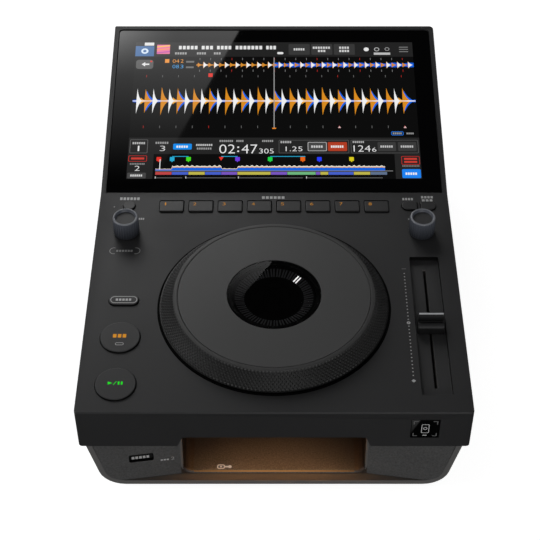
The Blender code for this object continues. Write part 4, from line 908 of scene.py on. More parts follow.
class PLAYER_OT_case(bpy.types.Operator):
    """Make the deck's case and the marks printed on it"""

    bl_idname = "player.case"
    bl_label = "Case"

    def execute(self, context):
        shades = context.scene.player_colours
        case = plastic("satin_case", shades.case, 0.5, 0.22, 0.010)
        deck = softened("deck_case", "top_case", [case, key_wall(shades)], "player", 0.3 * MM)
        repaint(deck, self.in_hole)
        marks = deck_plane()
        white = (*shades.print_white, 1.0)
        faint = tint(150, 150, 150)
        for word in (
            (-111.5, 196.6, -96.7, 199.4, 6, white), (-8.8, 197.9, 8.3, 200.6, 6, white),
            (92.8, 196.4, 101.0, 198.8, 4, white), (106.5, 198.4, 115.7, 200.8, 4, white),
            (106.9, 195.2, 115.3, 197.4, 3, white), (-96.6, 175.9, -92.4, 177.8, 3, white),
            (-110.2, 143.5, -98.2, 145.4, 6, faint),
        ):
            marks.strokes(*word)
        marks.disc(-115.0, 189.4, 0.55, faint)
        marks.box(95.6, 175.8, 96.6, 177.2, faint)
        self.brackets(marks, -104.15, 144.5, 10.6, 3.0, faint)
        self.scale(marks, white)
        piece("deck_marks", marks, [printed()], "player")
        return {"FINISHED"}

    def in_hole(self, centres, normals):
        """Upright faces in the holes of the keys and in the fader's recess, which take painted shade."""
        hole = np.zeros(len(centres), bool)
        for node_name in (*KEYS, "fader_tray"):
            low, high = corners(node_name)
            hole |= ((centres[:, :2] > low[:2] - GAP) & (centres[:, :2] < high[:2] + GAP)).all(1)
        return hole & (np.abs(normals[:, 2]) < 0.3)

    def brackets(self, marks, x, y, half, rise, ink):
        """Two round brackets about a word: each is an arc of a circle as high as the word's band."""
        for side in (-1, 1):
            bracket = arc(rise, -0.29, 0.29, 9) * (side, 1) + (x + side * (half - rise), y)
            marks.line(bracket, 0.5, ink)

    def scale(self, marks, white):
        """The fader's scale: a dash and a diamond at its ends, a ring at the middle and fifteen dots each way."""
        x, middle_y, pitch = 89.4, 76.6, 50.3 / 16.5
        marks.box(x - 1.5, 126.4, x + 1.5, 127.3, tint(110, 110, 110))
        marks.slab([(x - 1.5, 26.4), (x, 25.0), (x + 1.5, 26.4), (x, 27.8)], white)
        marks.disc(x, middle_y, 1.25, white)
        marks.disc(x, middle_y, 0.35, tint(60, 60, 60), 2, 10)
        for k in range(1, 16):
            for side in (-1, 1):
                marks.disc(x, middle_y + side * k * pitch, 0.48, white, count=10)


# Base

LIP_TOP = 9.0 * MM
WING_FACING = (0.14, -0.987, 0.07)
SCREW_PLACES = [(x, y) for y in (-100, 10, 128) for x in (-84, 84)]
SCREW_TOP = -0.62
SCREW_DOME = ((2.9, 0.3), (2.9, -0.25), (2.4, -0.5), (0.9, SCREW_TOP))


class PLAYER_OT_base(bpy.types.Operator):
    """Make the tapered base, the front wings with the bay between them, and the feet"""

    bl_idname = "player.base"
    bl_label = "Base and wings"

    def execute(self, context):
        shades = context.scene.player_colours
        shell = plastic("base_shell", shades.base, 0.5, 0.25, 0.012)
        wing = plastic("grained_wing", shades.wing, 0.55, 1.2, 0.05, 1.1)
        lip = plastic("base_lip", linear(80, 77, 74), 0.5, 0.7, 0.05, 0.4)
        base = softened("base_shell", "bottom_case", [shell, lip], "player", 0.3 * MM)
        repaint(base, lambda centres, normals: (np.abs(centres[:, 2] - LIP_TOP) < 0.2 * MM) & (normals[:, 2] > 0.9))
        self.screws()
        # The bay's floor, round and walls are shaded copies of one plastic, as painted light and shade, and its edge
        # strip is a painted highlight
        paints = [
            wing, self.bay_plastic("bay_plastic", shades.bay, 0.5),
            self.bay_plastic("bay_round", linear(50, 40, 32), 0.0),
            self.bay_plastic("bay_wall", linear(24, 19, 15), 0.0),
            plastic("bay_edge", linear(100, 99, 98), 0.5, 0.7, 0.03, 0.2),
            key_wall(shades),
        ]
        panel = softened("wing_panel", "front_panel", paints, "player", 0.2 * MM)
        repaint(panel, self.panel_zone)
        self.wing_marks(shades)
        rubber = plastic("foot_rubber", linear(28, 28, 28), 0.85, 0.5, 0.06, 0.2)
        for name in ("front_left", "front_right", "rear_left", "rear_right"):
            low, high = corners(f"foot_{name}")
            radius = (high[0] - low[0]) / 2
            insets = np.array([(2.4, 0.5), (1.9, 0.0), (0.8, 0.0), (0.2, 0.25), (0.0, 0.9)]) * MM
            profile = np.vstack([insets * (-1, 1) + (radius, 0.0), [(radius, high[2])]])
            shape = Shape()
            shape.loft(turned(profile, middle(f"foot_{name}") * (1, 1, 0), 48))
            piece(f"rubber_foot_{name}", shape, [rubber], "player", [f"foot_{name}"])
        return {"FINISHED"}

    def panel_zone(self, centres, normals):
        """The gap's edge in painted shade, the wings, then the bay: its floor with painted light, its round and its
        side walls in painted shade, and the strip beside it as a painted highlight.
        """
        x, y, z = np.abs(centres.T / MM)
        rim = (x > BAY_EDGE) & (np.abs(normals[:, 1]) < 0.5)
        inside = (y > BAY_BACK) & (z > BAY_FLOOR - 1.5) & (z < 66)
        return np.select(
            [rim, ~inside, x < BAY_FLAT, x < BAY_ROUND, x < BAY_HALF, (x < BAY_EDGE) & (z > BAY_FLOOR)],
            [5, 0, 1, 2, 3, 4], 0,
        )

    def screws(self):
        """Six screw heads under the base, each a low dome with a cross of painted shade on it."""
        _, point = facing("bottom_case", (0, 0, -1))
        heads = Shape()
        slots = Drawing((0, 0, point[2] + SCREW_TOP * MM), (1, 0, 0), (0, -1, 0))
        for x, y in SCREW_PLACES:
            heads.loft(turned(np.array(SCREW_DOME) * MM, (x * MM, y * MM, point[2]), 24)[:, ::-1])
            slots.box(x - 1.7, -y - 0.3, x + 1.7, -y + 0.3, FULL)
            slots.box(x - 0.3, -y - 1.7, x + 0.3, -y + 1.7, FULL, 2)
        piece("base_screws", heads, [tinned_steel()], "player")
        piece("base_screw_slots_painted_shade", slots, [deep_black()], "player")

    def bay_plastic(self, name, shade, painted_side_shade):
        """The bay's plastic, whose grain sparkles. It is painted paler towards the front, as painted light from the
        lamp there, and darker towards the sides, as painted shade.
        """
        paint = plastic(name, shade, 0.4, 1.0, 0.12, 2.2)
        tree, sockets = paint.node_tree, paint.node_tree.nodes["Principled BSDF"].inputs
        tone = sockets["Base Color"].links[0].from_socket
        place = apart(tree)
        share = maths(tree, "MULTIPLY_ADD", ramp(tree, place["Y"], -0.135, -0.169), 0.75, 0.35)
        off = maths(tree, "POWER", maths(tree, "DIVIDE", maths(tree, "ABSOLUTE", place["X"]), 0.054), 2.0)
        share = maths(tree, "MULTIPLY", share, maths(tree, "MULTIPLY_ADD", off, -painted_side_shade, 1.0, clamp=True))
        feed(tree, sockets, Base_Color=scaled(tree, tone, share))
        return paint

    def wing_marks(self, shades):
        """Small marks beside and on the eject key: heights are from the table, and x is along the wing's slant."""
        white = (*shades.print_white, 1.0)
        for name, body, node_name, (x0, z0, x1, z1, count) in (
            ("wing_marks", "player", "front_panel", (-75.2, 24.2, -69.2, 25.5, 3)),
            ("eject_mark", "eject_button_body", "eject_button", (-94.2, 26.9, -82.0, 29.2, 5)),
        ):
            normal, point = facing(node_name, WING_FACING)
            across = np.array([-normal[1], normal[0], 0.0]) / math.hypot(normal[0], normal[1])
            origin = np.array([0.0, point[1] + (normal[0] * point[0] + normal[2] * point[2]) / normal[1], 0.0])
            page = Drawing(origin, across, np.cross(normal, across))
            page.strokes(x0 / across[0], z0, x1 / across[0], z1, count, white)
            if name == "wing_marks":
                page.number("2", -68.3 / across[0], 24.2, -66.1 / across[0], 26.7, white)
            piece(name, page, [printed()], body)


# Keys

FLANGE = 1.1 * MM
FLANGE_TOP = -3.3 * MM
FLANGE_LOW = -4.5 * MM
PAD_BACK = 1.5 * MM
PAD_CORNER = 0.8 * MM
KEY_RISE = 1.2 * MM
KEY_STEM = 1.8 * MM
KEY_END, KEY_CORNER = 4.19 * MM, 0.6 * MM
KEY_CORNERS = {
    "delete": None, "back": (KEY_CORNER, KEY_END, KEY_END, KEY_CORNER),
    "tag": (KEY_END, KEY_CORNER, KEY_CORNER, KEY_END), "shift": 4.29 * MM, "cue": None, "play": None,
}


class PLAYER_OT_keys(bpy.types.Operator):
    """Make the pads and buttons with their numbers and marks"""

    bl_idname = "player.keys"
    bl_label = "Pads and buttons"

    def execute(self, context):
        shades = context.scene.player_colours
        self.edge = context.scene.player_controls.key_round
        self.paints = [key_plastic(shades), key_wall(shades)]
        white, orange = (*shades.print_white, 1.0), (*shades.print_orange, 1.0)
        for number, node_name in enumerate(PADS, 1):
            self.cap(node_name, PAD_CORNER, PAD_BACK)
            left = -4.95 if number == 1 else -5.6
            marks = self.face(node_name)
            marks.number(str(number), left, -0.1, -9.0 - left, 2.8, orange)
            piece(f"pad_number_{number}", marks, [lit()], f"{node_name}_body")
        for name, radii in KEY_CORNERS.items():
            self.cap(f"{name}_button", radii)
        silver = tint(190, 190, 190)
        marks = self.face("shift_button")
        marks.line(rounded(8.8, 2.85, 2.8), 0.55, silver, ring=True)
        marks.strokes(-5.4, -1.0, 5.6, 1.0, 5, white)
        piece("shift_mark", marks, [printed()], "shift_button_body")
        marks = self.face("cue_button")
        marks.strokes(-4.7, -0.7, 4.9, 2.4, 3, orange)
        piece("cue_mark", marks, [lit()], "cue_button_body")
        marks = self.face("cue_button")
        marks.line(rounded(2.6, 0.95, 0.9) + (0.0, -6.2), 0.45, silver, ring=True)
        piece("cue_second_mark", marks, [printed()], "cue_button_body")
        green = (*shades.print_green, 1.0)
        marks = self.face("play_button")
        marks.slab([(-4.9, -0.9), (-1.9, 0.4), (-4.9, 1.7)], green)
        marks.slab([(-1.5, -1.1), (-1.0, -1.1), (0.8, 1.9), (0.3, 1.9)], green)
        for left in (1.5, 3.5):
            marks.box(left, -0.9, left + 1.1, 1.7, green)
        piece("play_mark", marks, [lit()], "play_button_body")
        return {"FINISHED"}

    def face(self, node_name):
        """A drawing plane on a key's face, from the key's middle."""
        return Drawing(middle(node_name) * (1, 1, 0) + (0, 0, DECK + KEY_RISE))

    def cap(self, node_name, radii, back=0.0):
        """A key: stem, flange, wall in painted shade, round top edge and flat face, with a wider gap at its back."""
        low, high = corners(node_name)
        half = (high - low)[:2] / 2 - FLANGE
        centre = middle(node_name) * (1, 1, 0) + ON_DECK

        def outline_at(inset):
            if radii is None:
                return circle(half[0] - inset)
            short = back / 2 if inset >= 0 else 0.0
            radii_at = np.maximum(np.broadcast_to(radii, 4) - inset, 0.1 * MM)
            return rounded(half[0] - inset, half[1] - inset - short, radii_at) - (0.0, short)

        wall = [(-FLANGE, FLANGE_LOW), (-FLANGE, FLANGE_TOP), (0.0, FLANGE_TOP)]
        profile = np.vstack([wall, quarter(self.edge, KEY_RISE)])
        shape = Shape()
        loops = stacked(outline_at, profile, centre)
        shape.loft(loops)
        # The flange and wall rows take the painted shade
        shape.paints[0][:len(wall) * loops.shape[1]] = 1
        shape.loft(turned([(KEY_STEM, low[2] - DECK), (KEY_STEM, FLANGE_LOW + 0.5 * MM)], centre, 24))
        piece(f"{node_name}_cap", shape, self.paints, f"{node_name}_body", [node_name])


# Jog wheel: profiles are (radius, height above the deck), in millimetres

FOOT, SHOULDER = np.array([76.8, 1.1]), np.array([67.4, 11.2])
KNURL_STEPS = 8
BAND = ((67.32, 11.38), (67.1, 11.5), (64.85, 11.5), (64.6, 11.3), (64.6, 5.6), (66.0, 1.1))
HUB = (
    (66.0, 5.7), (66.0, 8.7), (60.6, 8.7), (60.6, 3.9), (34.3, 3.9), (34.3, -12.0),
    (37.1, -12.0), (37.1, 1.4), (63.6, 1.4), (63.6, 5.7),
)
POINTER_TURN = 47.0 * DEGREE


class PLAYER_OT_jog_wheel(bpy.types.Operator):
    """Make the knurled wheel, its plate, the window and the round display"""

    bl_idname = "player.jog_wheel"
    bl_label = "Jog wheel"

    def execute(self, context):
        shades = context.scene.player_colours
        sizes = context.scene.player_wheel
        grip = plastic("jog_grip", shades.grip, 0.42, 0.2, 0.004, 0.12, by_painted_shade=True)
        band = plastic("jog_band", shades.band, 0.55, 0.2, 0.004, 0.1)
        self.wheel(sizes, grip, band)
        self.plate(shades)
        deep = deep_black()
        # Painted shade: a black ring on the deck round the wheel's foot, for the shadow in the gap
        gap = deck_plane()
        gap.line(circle(78.1, 144) + (0.0, (JOG[1] - FRONT) / MM), 0.8, FULL, ring=True)
        piece("wheel_gap_painted_shade", gap, [deep], "player")
        dress("jog_base", deep)
        dress("jog_post", deep)
        self.window()
        self.ticks(sizes)
        return {"FINISHED"}

    def wheel(self, sizes, grip, band_paint):
        """The knurled slope, plain band and hub.

        A knurl's height is one less the larger of two triangle waves, which run round the wheel
        as its count times the turn, plus and minus the row's share of the slope. The grooves are
        cut along the slope's inward normal, and each face's ink is painted shade that darkens
        with the groove's depth; the lowest two rows are darkened as painted shade at the foot.
        """
        rows = round(KNURL_STEPS * sizes.diamond_rows / 2) + 1
        run = SHOULDER - FOOT
        inward = np.array([-run[1], run[0]]) / np.hypot(*run)
        around = np.arange(KNURL_STEPS * sizes.diamonds) / KNURL_STEPS
        turn = around * TURN / sizes.diamonds
        climb = np.linspace(0, 1, rows)[:, None]
        rise = climb * sizes.diamond_rows / 2
        waves = [np.abs(2 * (total - np.floor(total)) - 1) for total in (around + rise, around - rise)]
        groove = np.maximum(*waves)
        fade = np.clip(np.minimum(climb, 1 - climb) * 14, 0, 1)
        depth = sizes.knurl_depth / MM * groove ** 1.25 * fade
        valley = np.column_stack([groove, groove[:, :1]])
        valley = (valley[:-1, :-1] + valley[:-1, 1:] + valley[1:, :-1] + valley[1:, 1:]) / 4
        slope = FOOT + climb * run
        radius, height = (
            np.vstack([slope[:, k:k + 1] + inward[k] * depth, np.repeat(np.array(BAND)[:, k:k + 1], len(turn), 1)])
            for k in (0, 1)
        )
        loops = wound(radius * MM, height * MM, turn, JOG)
        shade = np.ones((len(loops), len(turn), 4))
        # Painted shade: each face darkens with its groove's depth, and the knurls' tops are painted a little lighter
        shade[:rows - 1, :, :3] = (1.15 - sizes.valley_shade * valley ** 2.5)[..., None]
        # Painted shade along the wheel's foot, where it meets the deck
        shade[:2, :, :3] *= 0.35
        shape = Shape()
        shape.loft(loops, ink=shade.reshape(-1, 4), ring=True)
        shape.paints[0][(rows - 1) * len(turn):] = 1
        shape.loft(turned(np.array(HUB) * MM, JOG), ring=True)
        piece("jog_grip", shape, [grip, band_paint], "jog", ["jog_ring"], smooth=34)

    def plate(self, shades):
        """The top plate, with round edges and the faint lines of turning."""
        outer, inner, low, top, edge = 64.3, 31.6, 9.0, 11.5, 0.12
        inside = round_rim(inner, edge, top, way=1)[::-1]
        profile = np.vstack([[(outer, low)], round_rim(outer, edge, top), inside, [(inner, low)]])
        shape = Shape()
        shape.loft(turned(profile * MM, JOG, 144), ring=True)
        paint, tree, sockets = new_paint("jog_face")
        out = effect(
            tree, turned_lines, Centre=tuple(JOG), Pitch=0.35 * MM, Colour=(*shades.plate, 1.0),
            Roughness=0.42, Spread=0.12,
        )
        feed(tree, sockets, Base_Color=out["Colour"], Roughness=out["Roughness"])
        lift(tree, out["Height"], 0.003 * MM, sockets)
        piece("jog_face_plate", shape, [paint], "jog", ["jog_plate"])

    def window(self):
        """The clear window over the display, its edge slightly round."""
        low, high = corners("jog_window")
        radius = (high[0] - low[0]) / 2
        profile = np.vstack([[(radius, low[2] - DECK)], round_rim(radius, 0.2 * MM, high[2] - DECK)])
        shape = Shape()
        shape.loft(turned(profile, JOG))
        shape.paints[0][:5 * ROUND] = 1
        clear = gloss("clear_window", (0.97, 0.97, 0.97), 0.004, 0.004, Transmission_Weight=1.0, IOR=1.47)
        black = gloss("window_mask", linear(2, 2, 2), 0.5, 0.05, Specular_IOR_Level=0.1)
        piece("clear_jog_window", shape, [clear, black], "player", ["jog_window"])
        under = (low[2] - DECK) / MM
        ring = [(31.0, under - 0.12), (31.0, under - 0.02), (28.3, under - 0.02), (28.3, under - 0.12)]
        shape = Shape()
        shape.loft(turned(np.array(ring) * MM, JOG), ring=True)
        piece("window_mask", shape, [black], "player")

    def ticks(self, sizes):
        """The display's dish, the pairs of marks on its slope, and the white pair that shows where the wheel stands.

        A mark at radius r is lower than the rim by the dish's depth times (rim - r) / (rim - floor).
        """
        low, high = corners("jog_display")
        radius = (high[0] - low[0]) / 2
        rim, floor, depth = 26.6 * MM, 19.8 * MM, 1.7 * MM
        foot, top = low[2] - DECK, high[2] - DECK
        profile = np.vstack([
            [(radius, foot)], round_rim(radius, 0.15 * MM, top, 2), [(rim, top), (floor, top - depth)],
        ])
        shape = Shape()
        shape.loft(turned(profile, JOG))
        dark = gloss("display_black", linear(6, 6, 6), 0.5, 0.05, Specular_IOR_Level=0.0)
        piece("round_display", shape, [dark], "player", ["jog_display"])
        marks = Drawing((JOG[0], JOG[1], high[2]))
        grey = tint(22, 22, 23)
        inner, outer = sizes.tick_inner / MM, sizes.tick_outer / MM
        for k in range(sizes.ticks):
            self.spoke(marks, (k + 0.05 * (-1) ** k) * TURN / sizes.ticks, 0.0, inner, outer, 1.1, grey, 1)
        white = tint(250, 250, 250)
        for offset in (-1.0, 1.0):
            self.spoke(marks, POINTER_TURN, offset, 20.1, 25.4, 1.0, white, 2)
        for points in marks.points:
            reach = np.hypot(*(points - JOG)[:, :2].T)
            points[:, 2] -= (rim - reach) / (rim - floor) * depth
        glow = inked("display_light", 1.0, 0.5, Specular_IOR_Level=0.05)
        piece("display_ticks", marks, [glow], "player")

    def spoke(self, marks, angle, offset, inner, outer, width, ink, layer):
        """A bar along a radius, moved sideways by the offset."""
        along = np.array([math.cos(angle), math.sin(angle)])
        side = np.array([-along[1], along[0]])
        ends = [(inner, -1), (outer, -1), (outer, 1), (inner, 1)]
        marks.slab([along * reach + side * (offset + way * width / 2) for reach, way in ends], ink, layer)


# Knobs: each row is (radius, height above the deck, share of the flute), in millimetres

KNOB_ROWS = (
    (3.3, 11.2, 0), (3.3, 0.8, 0), (8.9, 0.8, 0), (9.15, 1.05, 0.6), (9.13, 3.0, 1), (9.1, 5.0, 1),
    (9.08, 7.0, 1), (9.05, 9.0, 1), (9.02, 11.0, 1), (9.0, 12.9, 1), (8.93, 13.9, 0.7), (8.75, 14.4, 0.1),
    (8.45, 14.8, 0), (8.1, 15.0, 0), (7.75, 15.0, 0), (7.4, 14.8, 0), (7.1, 14.3, 0), (6.9, 13.3, 0),
    (6.6, 13.0, 0),
)
# Rows of the knob's profile that take the rim's painted highlight
PAINTED_HIGHLIGHT_ROWS = slice(11, 15)


class PLAYER_OT_knobs(bpy.types.Operator):
    """Make the two fluted knobs"""

    bl_idname = "player.knobs"
    bl_label = "Knobs"

    def execute(self, context):
        shades = context.scene.player_colours
        sizes = context.scene.player_controls
        paints = [
            plastic("knob_side", shades.knob, 0.3, 0.22, 0.010, 0.3, by_painted_shade=True),
            plastic("knob_dish", linear(60, 60, 61), 0.5, 0.2, 0.01),
            plastic("knob_rim", shades.rim, 0.2, 0.2, 0.004, 0.1),
        ]
        for label in ("loop", "browse"):
            self.knob(label, sizes, paints)
        return {"FINISHED"}

    def knob(self, label, sizes, paints):
        """A turned knob whose side radius dips by the flute depth times (1 - cos(flutes x turn)) / 2. Its side is
        painted darker towards the bottom as painted shade, and its top rim takes a paler paint as a painted
        highlight.
        """
        rows = np.array(KNOB_ROWS)
        count = 6 * sizes.flutes
        turn = np.arange(count) * TURN / count
        dip = (1 - np.cos(sizes.flutes * turn)) / 2 * sizes.flute_depth
        radius = rows[:, :1] * MM - rows[:, 2:] * dip
        height = np.repeat(rows[:, 1:2] * MM, count, 1)
        centre = middle(f"{label}_knob") * (1, 1, 0) + ON_DECK
        shade = np.ones((len(rows) - 1, count, 4))
        # Painted shade: the side darkens towards the deck, with a painted highlight near the top
        shade[..., :3] = np.interp(rows[:-1, 1], (1.0, 13.0), (0.32, 1.15))[:, None, None]
        shape = Shape()
        shape.loft(wound(radius, height, turn, centre))
        shape.inks[0] = shade.reshape(-1, 4)
        shape.paints[0][PAINTED_HIGHLIGHT_ROWS.start * count:PAINTED_HIGHLIGHT_ROWS.stop * count] = 2
        shape.paints[-1][:] = 1
        piece(f"{label}_knob_cap", shape, paints, f"{label}_turn", [f"{label}_knob"], smooth=40)


# Tempo fader: the right half of the cap's section, as (y, height above the deck) in millimetres, and the painted
# shade and highlight of each strip from its front foot round to the middle, which multiply the cap's paint

CAP_FOOT = (7.0, -3.6)
CAP_HUMP = arc(2.7, 0.0, 0.36, 9) + (4.3, 1.4)
CAP_RIDGE = ((2.2, 3.0), (1.8, 2.8), (1.4, 3.3), (1.3, 4.6), (1.2, 5.8), (1.1, 7.0), (0.95, 8.8), (0.8, 9.0))
CAP_PAINTED_SHADES = (0.25, 0.4, 0.7, 0.9, 1.0, 1.0, 0.9, 0.6, 0.3, 0.12, 0.1, 0.1, 0.12, 0.2, 0.5, 0.9, 1.2, 1.2)
CAP_HALF = 8.6 * MM
CAP_TOP = 9.0 * MM
SLOT_HALF_X, SLOT_HALF_Y = 3 * MM, 56 * MM
LIP_NEAR, LIP_FAR, LIP_HALF_Y, LIP_THICK = 0.65 * MM, 1.06 * MM, 54 * MM, 0.2 * MM


class PLAYER_OT_fader(bpy.types.Operator):
    """Make the fader's tray and cap"""

    bl_idname = "player.fader"
    bl_label = "Tempo fader"

    def execute(self, context):
        shades = context.scene.player_colours
        sizes = context.scene.player_controls
        # The tray's walls take a darker copy of its plastic as painted shade, and the slot's walls a paler one as
        # painted light
        paints = [
            plastic("tray_plastic", shades.tray, 0.5, 0.25, 0.012),
            plastic("tray_wall", linear(24, 24, 24), 0.5, 0.25, 0.012, Specular_IOR_Level=0.2),
            plastic("slot_wall", linear(118, 116, 114), 0.6, 0.25, 0.012, Specular_IOR_Level=0.2),
        ]
        tray = softened("tempo_tray", "fader_tray", paints, "player", 0.15 * MM)
        centre = middle("fader_tray")

        def in_slot(centres, normals):
            """0 for level faces, 1 for the tray's walls, in painted shade, and 2 for the slot's, in painted light.
            """
            away = np.abs(centres - centre)
            slot = (away[:, 0] < SLOT_HALF_X) & (away[:, 1] < SLOT_HALF_Y)
            return (np.abs(normals[:, 2]) < 0.5) * (1 + slot)

        repaint(tray, in_slot)
        floor = corners("fader_tray")[0][2] + 0.05 * MM
        lips = Shape()
        for left, right in ((-LIP_FAR, -LIP_NEAR), (LIP_NEAR, LIP_FAR)):
            loop = [(left, 0), (right, 0), (right, LIP_THICK), (left, LIP_THICK)]
            lips.loft(np.array([
                [(centre[0] + x, centre[1] + y, floor + z) for x, z in loop] for y in (-LIP_HALF_Y, LIP_HALF_Y)
            ]))
        felt = plastic("slot_felt", linear(66, 65, 64), 0.9, 0.6, 0.02, Specular_IOR_Level=0.1)
        piece("tempo_slot_lips", lips, [felt], "player")
        centre = middle("tempo_cap") * (1, 1, 0) + ON_DECK
        right = np.vstack([[CAP_FOOT], CAP_HUMP, CAP_RIDGE])
        section = np.vstack([right, right[::-1] * (-1, 1)]) * MM
        ends = [np.column_stack([np.full(len(section), x), section]) + centre for x in (-CAP_HALF, CAP_HALF)]
        shape = Shape()
        shape.loft(np.stack(ends))
        # Painted shade in the valley and painted highlights on the hump and ridge, strip by strip
        tone = np.array([*CAP_PAINTED_SHADES, *CAP_PAINTED_SHADES[-2::-1], 0.1])
        shape.inks[0] = np.column_stack([tone, tone, tone, np.ones(len(tone))])
        cap = plastic("fader_cap", linear(52, 52, 53), 0.45, 0.2, 0.006, by_painted_shade=True, Specular_IOR_Level=0.25)
        obj = piece("tempo_fader_cap", shape, [cap], "tempo", ["tempo_cap"])
        round_edges(obj, sizes.cap_round, 3)
        line = Drawing(centre + (0, 0, CAP_TOP))
        line.box(-8.1, -0.72, 8.1, 0.72, tint(215, 217, 220), radius=0.2)
        piece("tempo_line", line, [printed()], "tempo")
        return {"FINISHED"}


# Screen: the picture is laid out in sevenths of a millimetre, x to the right and y down from its top left corner

ORANGE, AMBER, RED, SKY, DEEP_BLUE = (240, 160, 70), (225, 165, 50), (225, 50, 40), (25, 140, 235), (20, 95, 215)
PALE, TILE_BLUE, DIM_RED, FRAME_GREY = (240, 240, 240), (70, 110, 160), (170, 40, 34), (88, 88, 88)
WIDE, TALL = 1519, 951
TRACK_Y, WAVE_Y = 167, 425
WAVE_START, WAVE_PITCH = 70.0, 86.1


class PLAYER_OT_screen(bpy.types.Operator):
    """Make the touch glass and the picture that it shows"""

    bl_idname = "player.screen"
    bl_label = "Screen"

    def execute(self, context):
        glass = gloss("screen_glass", linear(7, 7, 8), 0.025, 0.02, IOR=1.52)
        softened("screen_glass", "touch_glass", [glass], "player", 0.25 * MM)
        tilt = np.array([0.0, math.cos(SCREEN_TILT), math.sin(SCREEN_TILT)])
        out = np.array([0.0, -math.sin(SCREEN_TILT), math.cos(SCREEN_TILT)])
        corner = np.array([-108.5 * MM, CREASE, DECK]) + 149.8 * MM * tilt - GLASS_DROP * out
        self.page = Drawing(corner, (1, 0, 0), tilt, MM / 7, sense=-1)
        self.header()
        self.track_strip()
        self.waves()
        self.readouts()
        self.overview()
        paint = inked("screen_picture", 1.0, 0.03, IOR=1.52)
        piece("screen_picture", self.page, [paint], "player")
        return {"FINISHED"}

    def each(self, draw, *rows):
        """Draws a mark for every row of values."""
        for row in rows:
            draw(*row)

    def box(self, x0, y0, x1, y1, shade, layer=2, radius=0.0):
        """A block of a colour."""
        self.page.box(x0, y0, x1, y1, tint(*shade), layer, radius)

    def grey(self, x0, y0, x1, y1, level, layer=2, radius=0.0):
        """A block of a grey."""
        self.box(x0, y0, x1, y1, (level,) * 3, layer, radius)

    def word(self, x0, y0, x1, y1, level, layer=3):
        """Blocks about as wide as they are high, in place of a word."""
        count = max(1, round((x1 - x0) / (0.82 * (y1 - y0))))
        self.page.strokes(x0, y0, x1, y1, count, tint(level, level, level), layer)

    def outline(self, x0, y0, x1, y1, shade, layer=3, width=3):
        """The outline of a box."""
        self.page.border(x0, y0, x1, y1, width, tint(*shade), layer, 5)

    def number(self, text, x0, y0, x1, y1, shade=(235, 235, 235), layer=4):
        """A number in a colour."""
        self.page.number(text, x0, y0, x1, y1, tint(*shade), layer)

    def header(self):
        """The top bar: tile, cover, title words, buttons and status marks."""
        self.each(
            self.grey, (0, 0, WIDE, TALL, 10, 1), (0, 0, WIDE, 106, 34), (48, 2, 100, 24, 225, 3),
            (777, 72, 810, 88, 225, 3, 6), (1305, 76, 1395, 92, 190, 3),
            *((x, 13, right, 92, 55, 3, 6) for x, right in ((839, 955), (963, 1079), (1087, 1202))),
            *((1445, y - 3, 1494, y + 3, 120, 3) for y in (36, 52, 69)),
        )
        self.each(self.box, (0, 28, 102, 103, TILE_BLUE, 3), (117, 18, 188, 86, (232, 120, 160), 3))
        for k, shade in enumerate(((250, 190, 90), (245, 150, 110), (190, 90, 170))):
            y = 22 * k
            self.page.slab([(117, 30 + y), (188, 20 + y), (188, 29 + y), (117, 39 + y)], tint(*shade), 4)
        self.each(
            self.word,
            *((x, 26, right, 52, 225) for x, right in ((237, 345), (362, 430), (446, 530), (548, 700), (716, 775))),
            *((x, 74, right, 90, 165) for x, right in ((217, 284), (337, 390), (430, 470))),
            (867, 44, 929, 60, 205, 4), (972, 32, 1070, 48, 205, 4), (1000, 56, 1044, 72, 205, 4),
            (1117, 32, 1174, 48, 205, 4), (1117, 56, 1174, 72, 205, 4),
        )
        self.each(
            self.page.disc, (51, 65, 20, tint(215, 230, 245), 4), (51, 65, 9, tint(*TILE_BLUE), 5),
            (1265, 52, 14, tint(230, 230, 230), 3),
        )
        self.page.line(circle(12, 20) + (1322, 52), 5, tint(170, 170, 170), 3, ring=True)
        self.page.line(circle(11, 20) + (1379, 50), 4, tint(150, 150, 150), 3, ring=True)

    def track_strip(self):
        """The second row: back key, beat counters and the small wave of the whole track."""
        self.page.slab([(38, 162), (58, 146), (58, 178)], tint(230, 230, 230), 3)
        self.page.disc(90, 141, 6, tint(220, 50, 40), 3)
        self.each(
            self.grey, (8, 129, 102, 196, 90, 2, 16), (58, 157, 80, 167, 230, 3), (280, 137, 324, 150, 110),
            (280, 178, 322, 190, 110),
        )
        self.box(165, 124, 188, 151, (235, 150, 60))
        self.each(
            self.number, ("04", 207, 126, 242, 151, ORANGE), ("2", 250, 126, 266, 151, ORANGE),
            ("08", 207, 166, 242, 191, (80, 160, 220)), ("3", 250, 166, 266, 191, (80, 160, 220)),
        )
        self.mirrored(757, WIDE, TRACK_Y, lambda x: 10 + 7 * np.sin(x / 29) ** 2, DEEP_BLUE, 2, 60)
        self.mirrored(337, 757, TRACK_Y, lambda x: 3 + 3 * np.sin(x / 23) ** 2, (205, 135, 50), 2, 40)
        for k in range(20):
            self.beat_mark(355 + 58.1 * k, k % 4 == 3, 125, ((116, 131), (201, 216)))
        for k in range(40):
            x = 345 + 29.3 * k
            tall = 25 if k % 2 else 17
            self.burst(x, TRACK_Y, tall, 26, (215, 140, 45), 3, 1.8)
            if k % 2:
                self.burst(x + 2, TRACK_Y, 0.9 * tall, 24, PALE, 4, 1.8)

    def beat_mark(self, x, first, level, spans):
        """A tick above and below a wave, red at the first beat of a bar."""
        for y0, y1 in spans:
            self.box(x - 1.5, y0, x + 1.5, y1, DIM_RED if first else (level,) * 3, 3)

    def mirrored(self, x0, x1, y, height_at, shade, layer, count):
        """A body as high above its middle line as below it, with its height a function of x."""
        x = np.linspace(x0, x1, count)
        height = height_at(x)
        outline = np.vstack([np.column_stack([x, y - height]), np.column_stack([x, y + height])[::-1]])
        self.page.slab(outline, tint(*shade), layer)

